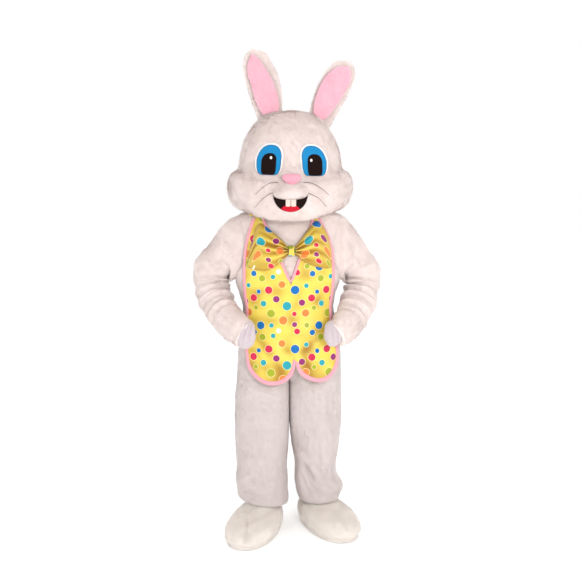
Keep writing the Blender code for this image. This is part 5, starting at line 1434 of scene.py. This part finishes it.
def bow(satin):
    for word, table, pleats in (("right", RIGHT_LOOP, RIGHT_PLEATS), ("left", LEFT_LOOP, LEFT_PLEATS)):
        place = np.linspace(0, 6, 60)[:, None]
        w = np.sin(np.linspace(-math.pi / 2, math.pi / 2, 73))
        step = read(table, place + 0 * w)
        z = mix(step.bottom, step.top, (w + 1) / 2)
        edge = np.sqrt(np.maximum(0, 1 - w * w))
        crimp = 0.0
        for p in pleats:
            near = np.exp(-(((w - p.across) / p.width) ** 2)) * np.exp(-((place / p.fades) ** 2))
            crimp = crimp + p.depth * near
        lift = 1.30 * step.puff * edge + crimp * edge**0.5
        # Painted shade: the loop's satin is part gold all over, and more so in its pleats' hollows, towards
        # its edges and by the knot.
        tone = np.clip(0.42 - 55 * crimp + 0.35 * np.abs(w) ** 5 + 0.16 * np.exp(-((place / 1.2) ** 2)), 0, 1)
        lift = np.maximum(lift + 0.0012 * ripple(spot(step.x, 0, z), 170, 0.05) * edge, 0.0)
        front = drape_point(step.x, z, BOW_BACK + lift)
        back = drape_point(step.x, z, BOW_BACK)
        u = step.x + (0.03 if word == "right" else -0.02)
        v = z - mix(step.bottom, step.top, 0.5)
        uv = np.stack([doubled(u) + 0.021, doubled(v) * 1.15 + 0.083], -1)
        grid = np.concatenate([front, back[:, ::-1]], 1)
        made = piece("bow_satin_" + word, grid, satin, uv=uv, tone=doubled(tone))
        placed(made, "dotted_satin", "bow_loop_" + word)
    b, a = np.sin(np.linspace(-math.pi / 2, math.pi / 2, 33))[:, None], np.linspace(-1, 1, 25)
    x, z = KNOT[0] + KNOT_HALF * a * (1 - 0.18 * (1 - b * b)), KNOT[1] + KNOT_TALL * b + 0 * a
    dome = np.sqrt(np.maximum(0, 1 - b * b))
    round_off = (1 - 0.25 * a * a) * dome
    tucks = 0.0016 * np.sin(a * 7 + 0.7) * dome
    front = drape_point(x, z, BOW_BACK + KNOT_PUFF * round_off + tucks)
    back = drape_point(x, z, BOW_BACK)
    grid = np.concatenate([front, back[:, ::-1]], 1)
    uv = np.stack([grid[..., 0] + 0.060, grid[..., 2] - 1.10], -1)
    made = piece("bow_knot_satin", grid, satin, uv=uv)
    placed(made, "dotted_satin", "bow_knot")


# ------------------------------------------------------------ stage


def aimed(made, place, target):
    made.location = place
    made.rotation_euler = (Vector(target) - Vector(place)).to_track_quat("-Z", "Y").to_euler()
    return made


def area_light(name, place, target, size, power_, colour=(1, 1, 1)):
    lamp = bpy.data.lights.new(name, "AREA")
    lamp.energy, lamp.size, lamp.color = power_, size, colour
    aimed(linked(name, lamp), place, target)


def stage():
    scene = bpy.context.scene
    floor = bpy.data.meshes.new("floor")
    corners = [(-60, -60), (60, -60), (60, 60), (-60, 60)]
    floor.from_pydata([(x, y, -SHOULDER_HEIGHT) for x, y in corners], [], [(0, 1, 2, 3)])
    finish, _, shader = material("floor", (0.92, 0.92, 0.92), 0.9)
    shader.inputs["Emission Color"].default_value = (1, 1, 1, 1)
    shader.inputs["Emission Strength"].default_value = 0.28
    floor.materials.append(finish)
    linked("floor", floor)
    world = bpy.data.worlds.new("studio")
    scene.world, world.use_nodes = world, True
    tree = world.node_tree
    way = add(tree, "SeparateXYZ", Vector=add(tree, "TexCoord").outputs["Generated"])
    glow = add(tree, "MapRange", Value=way.outputs["Y"], From_Min=-0.7, From_Max=0.2, To_Min=0.62, To_Max=1.0)
    tree.links.new(glow.outputs["Result"], tree.nodes["Background"].inputs["Strength"])
    tree.nodes["Background"].inputs["Color"].default_value = (1.0, 1.0, 1.0, 1)
    area_light("key", (1.0, -2.6, 0.30), (0, 0, 0.15), 0.9, 32, (1.0, 0.985, 0.97))
    area_light("fill", (-2.0, -2.6, 0.3), (0, 0, 0.2), 1.4, 12)
    scene.view_settings.view_transform = "Standard"
    cam = bpy.data.cameras.new("camera")
    cam.lens, cam.sensor_width = 48.99, 36
    scene.camera = aimed(linked("camera", cam), (0, -3.3, 0), (0, 0, -0.313))


PLUSH, PLUSH_SHADE = (0.88, 0.775, 0.745), (0.83, 0.720, 0.685)
STRAND, STRAND_SHADE = (0.93, 0.825, 0.795), (0.87, 0.760, 0.725)


def main():
    cloth, strands = (PLUSH, PLUSH_SHADE, 260.0, 0.0016), (STRAND, STRAND_SHADE, 500.0, 0.0004)
    plush, fur = plush_finish("plush", *cloth), plush_finish("plush_pile", *strands)
    # The legs' plush and pile are the suit's own made darker: painted shade, for the lesser light on the
    # legs.
    shaded_trousers = plush_finish("plush_short", (0.70, 0.622, 0.604), (0.66, 0.585, 0.565), 320.0, 0.0012)
    shaded_trouser_fur = plush_finish("plush_short_pile", (0.74, 0.659, 0.643), (0.70, 0.620, 0.600), 500.0, 0.0004)
    # The body's plush and pile blend at the hips to the legs' darker colour: painted shade.
    body = plush_finish("plush_body", *cloth, shaded_hips=(0.68, 0.604, 0.585))
    body_fur = plush_finish("plush_body_pile", *strands, shaded_hips=(0.72, 0.640, 0.622))
    cover = plush_finish("plush_cream", (0.88, 0.82, 0.76), (0.83, 0.765, 0.70), 320.0, 0.0012)
    cover_fur = plush_finish("plush_cream_pile", (0.93, 0.87, 0.81), (0.88, 0.815, 0.755), 500.0, 0.0004)
    fleece = plush_finish("mitt_fleece", (0.62, 0.54, 0.57), (0.59, 0.51, 0.54), 700.0, 0.0006, 0.35)
    sole_cloth = felt_finish("sole_cloth", (0.70, 0.66, 0.62), 0.9)
    pink = plush_finish("pink_plush", (0.96, 0.52, 0.62), (0.93, 0.48, 0.58), 500.0, 0.0006, 0.4)
    pink_fur = plush_finish("pink_pile", (0.98, 0.58, 0.68), (0.95, 0.53, 0.63), 500.0, 0.0004, 0.4)
    satin = satin_finish("dotted_satin")
    binding = satin_finish("pink_satin", False, (0.86, 0.38, 0.45))
    felts = {
        "white": felt_finish("white_felt", (0.86, 0.83, 0.81)),
        "tooth": felt_finish("tooth_felt", (0.72, 0.60, 0.53)),
        "blue": felt_finish("blue_felt", (0.012, 0.235, 0.52), 0.6, sheen=0.03, gloss=0.12),
        "edge": felt_finish("blue_edge", (0.008, 0.10, 0.24), 0.6, sheen=0.0, gloss=0.05),
        "black": felt_finish("black_felt", (0.014, 0.007, 0.006), 0.8, sheen=0.0, gloss=0.04),
        "red": felt_finish("red_felt", (0.56, 0.008, 0.026), sheen=0.03),
        "pink": felt_finish("nose_plush", (0.82, 0.345, 0.435), 0.8, 700.0, 0.4),
        "cord": felt_finish("whisker_cord", (0.10, 0.08, 0.075), 0.5, 200.0, 0.0),
    }
    suit_body(body, body_fur)
    suit_sleeves(plush, fur)
    suit_legs(shaded_trousers, shaded_trouser_fur)
    suit_feet(cover, cover_fur, sole_cloth)
    suit_mitts(fleece)
    head_shells(plush, fur)
    face_pieces(plush, fur, felts)
    ears(plush, fur, pink, pink_fur)
    vest(satin, binding)
    strap(satin)
    bow(satin)
    stage()


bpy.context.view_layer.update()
main()
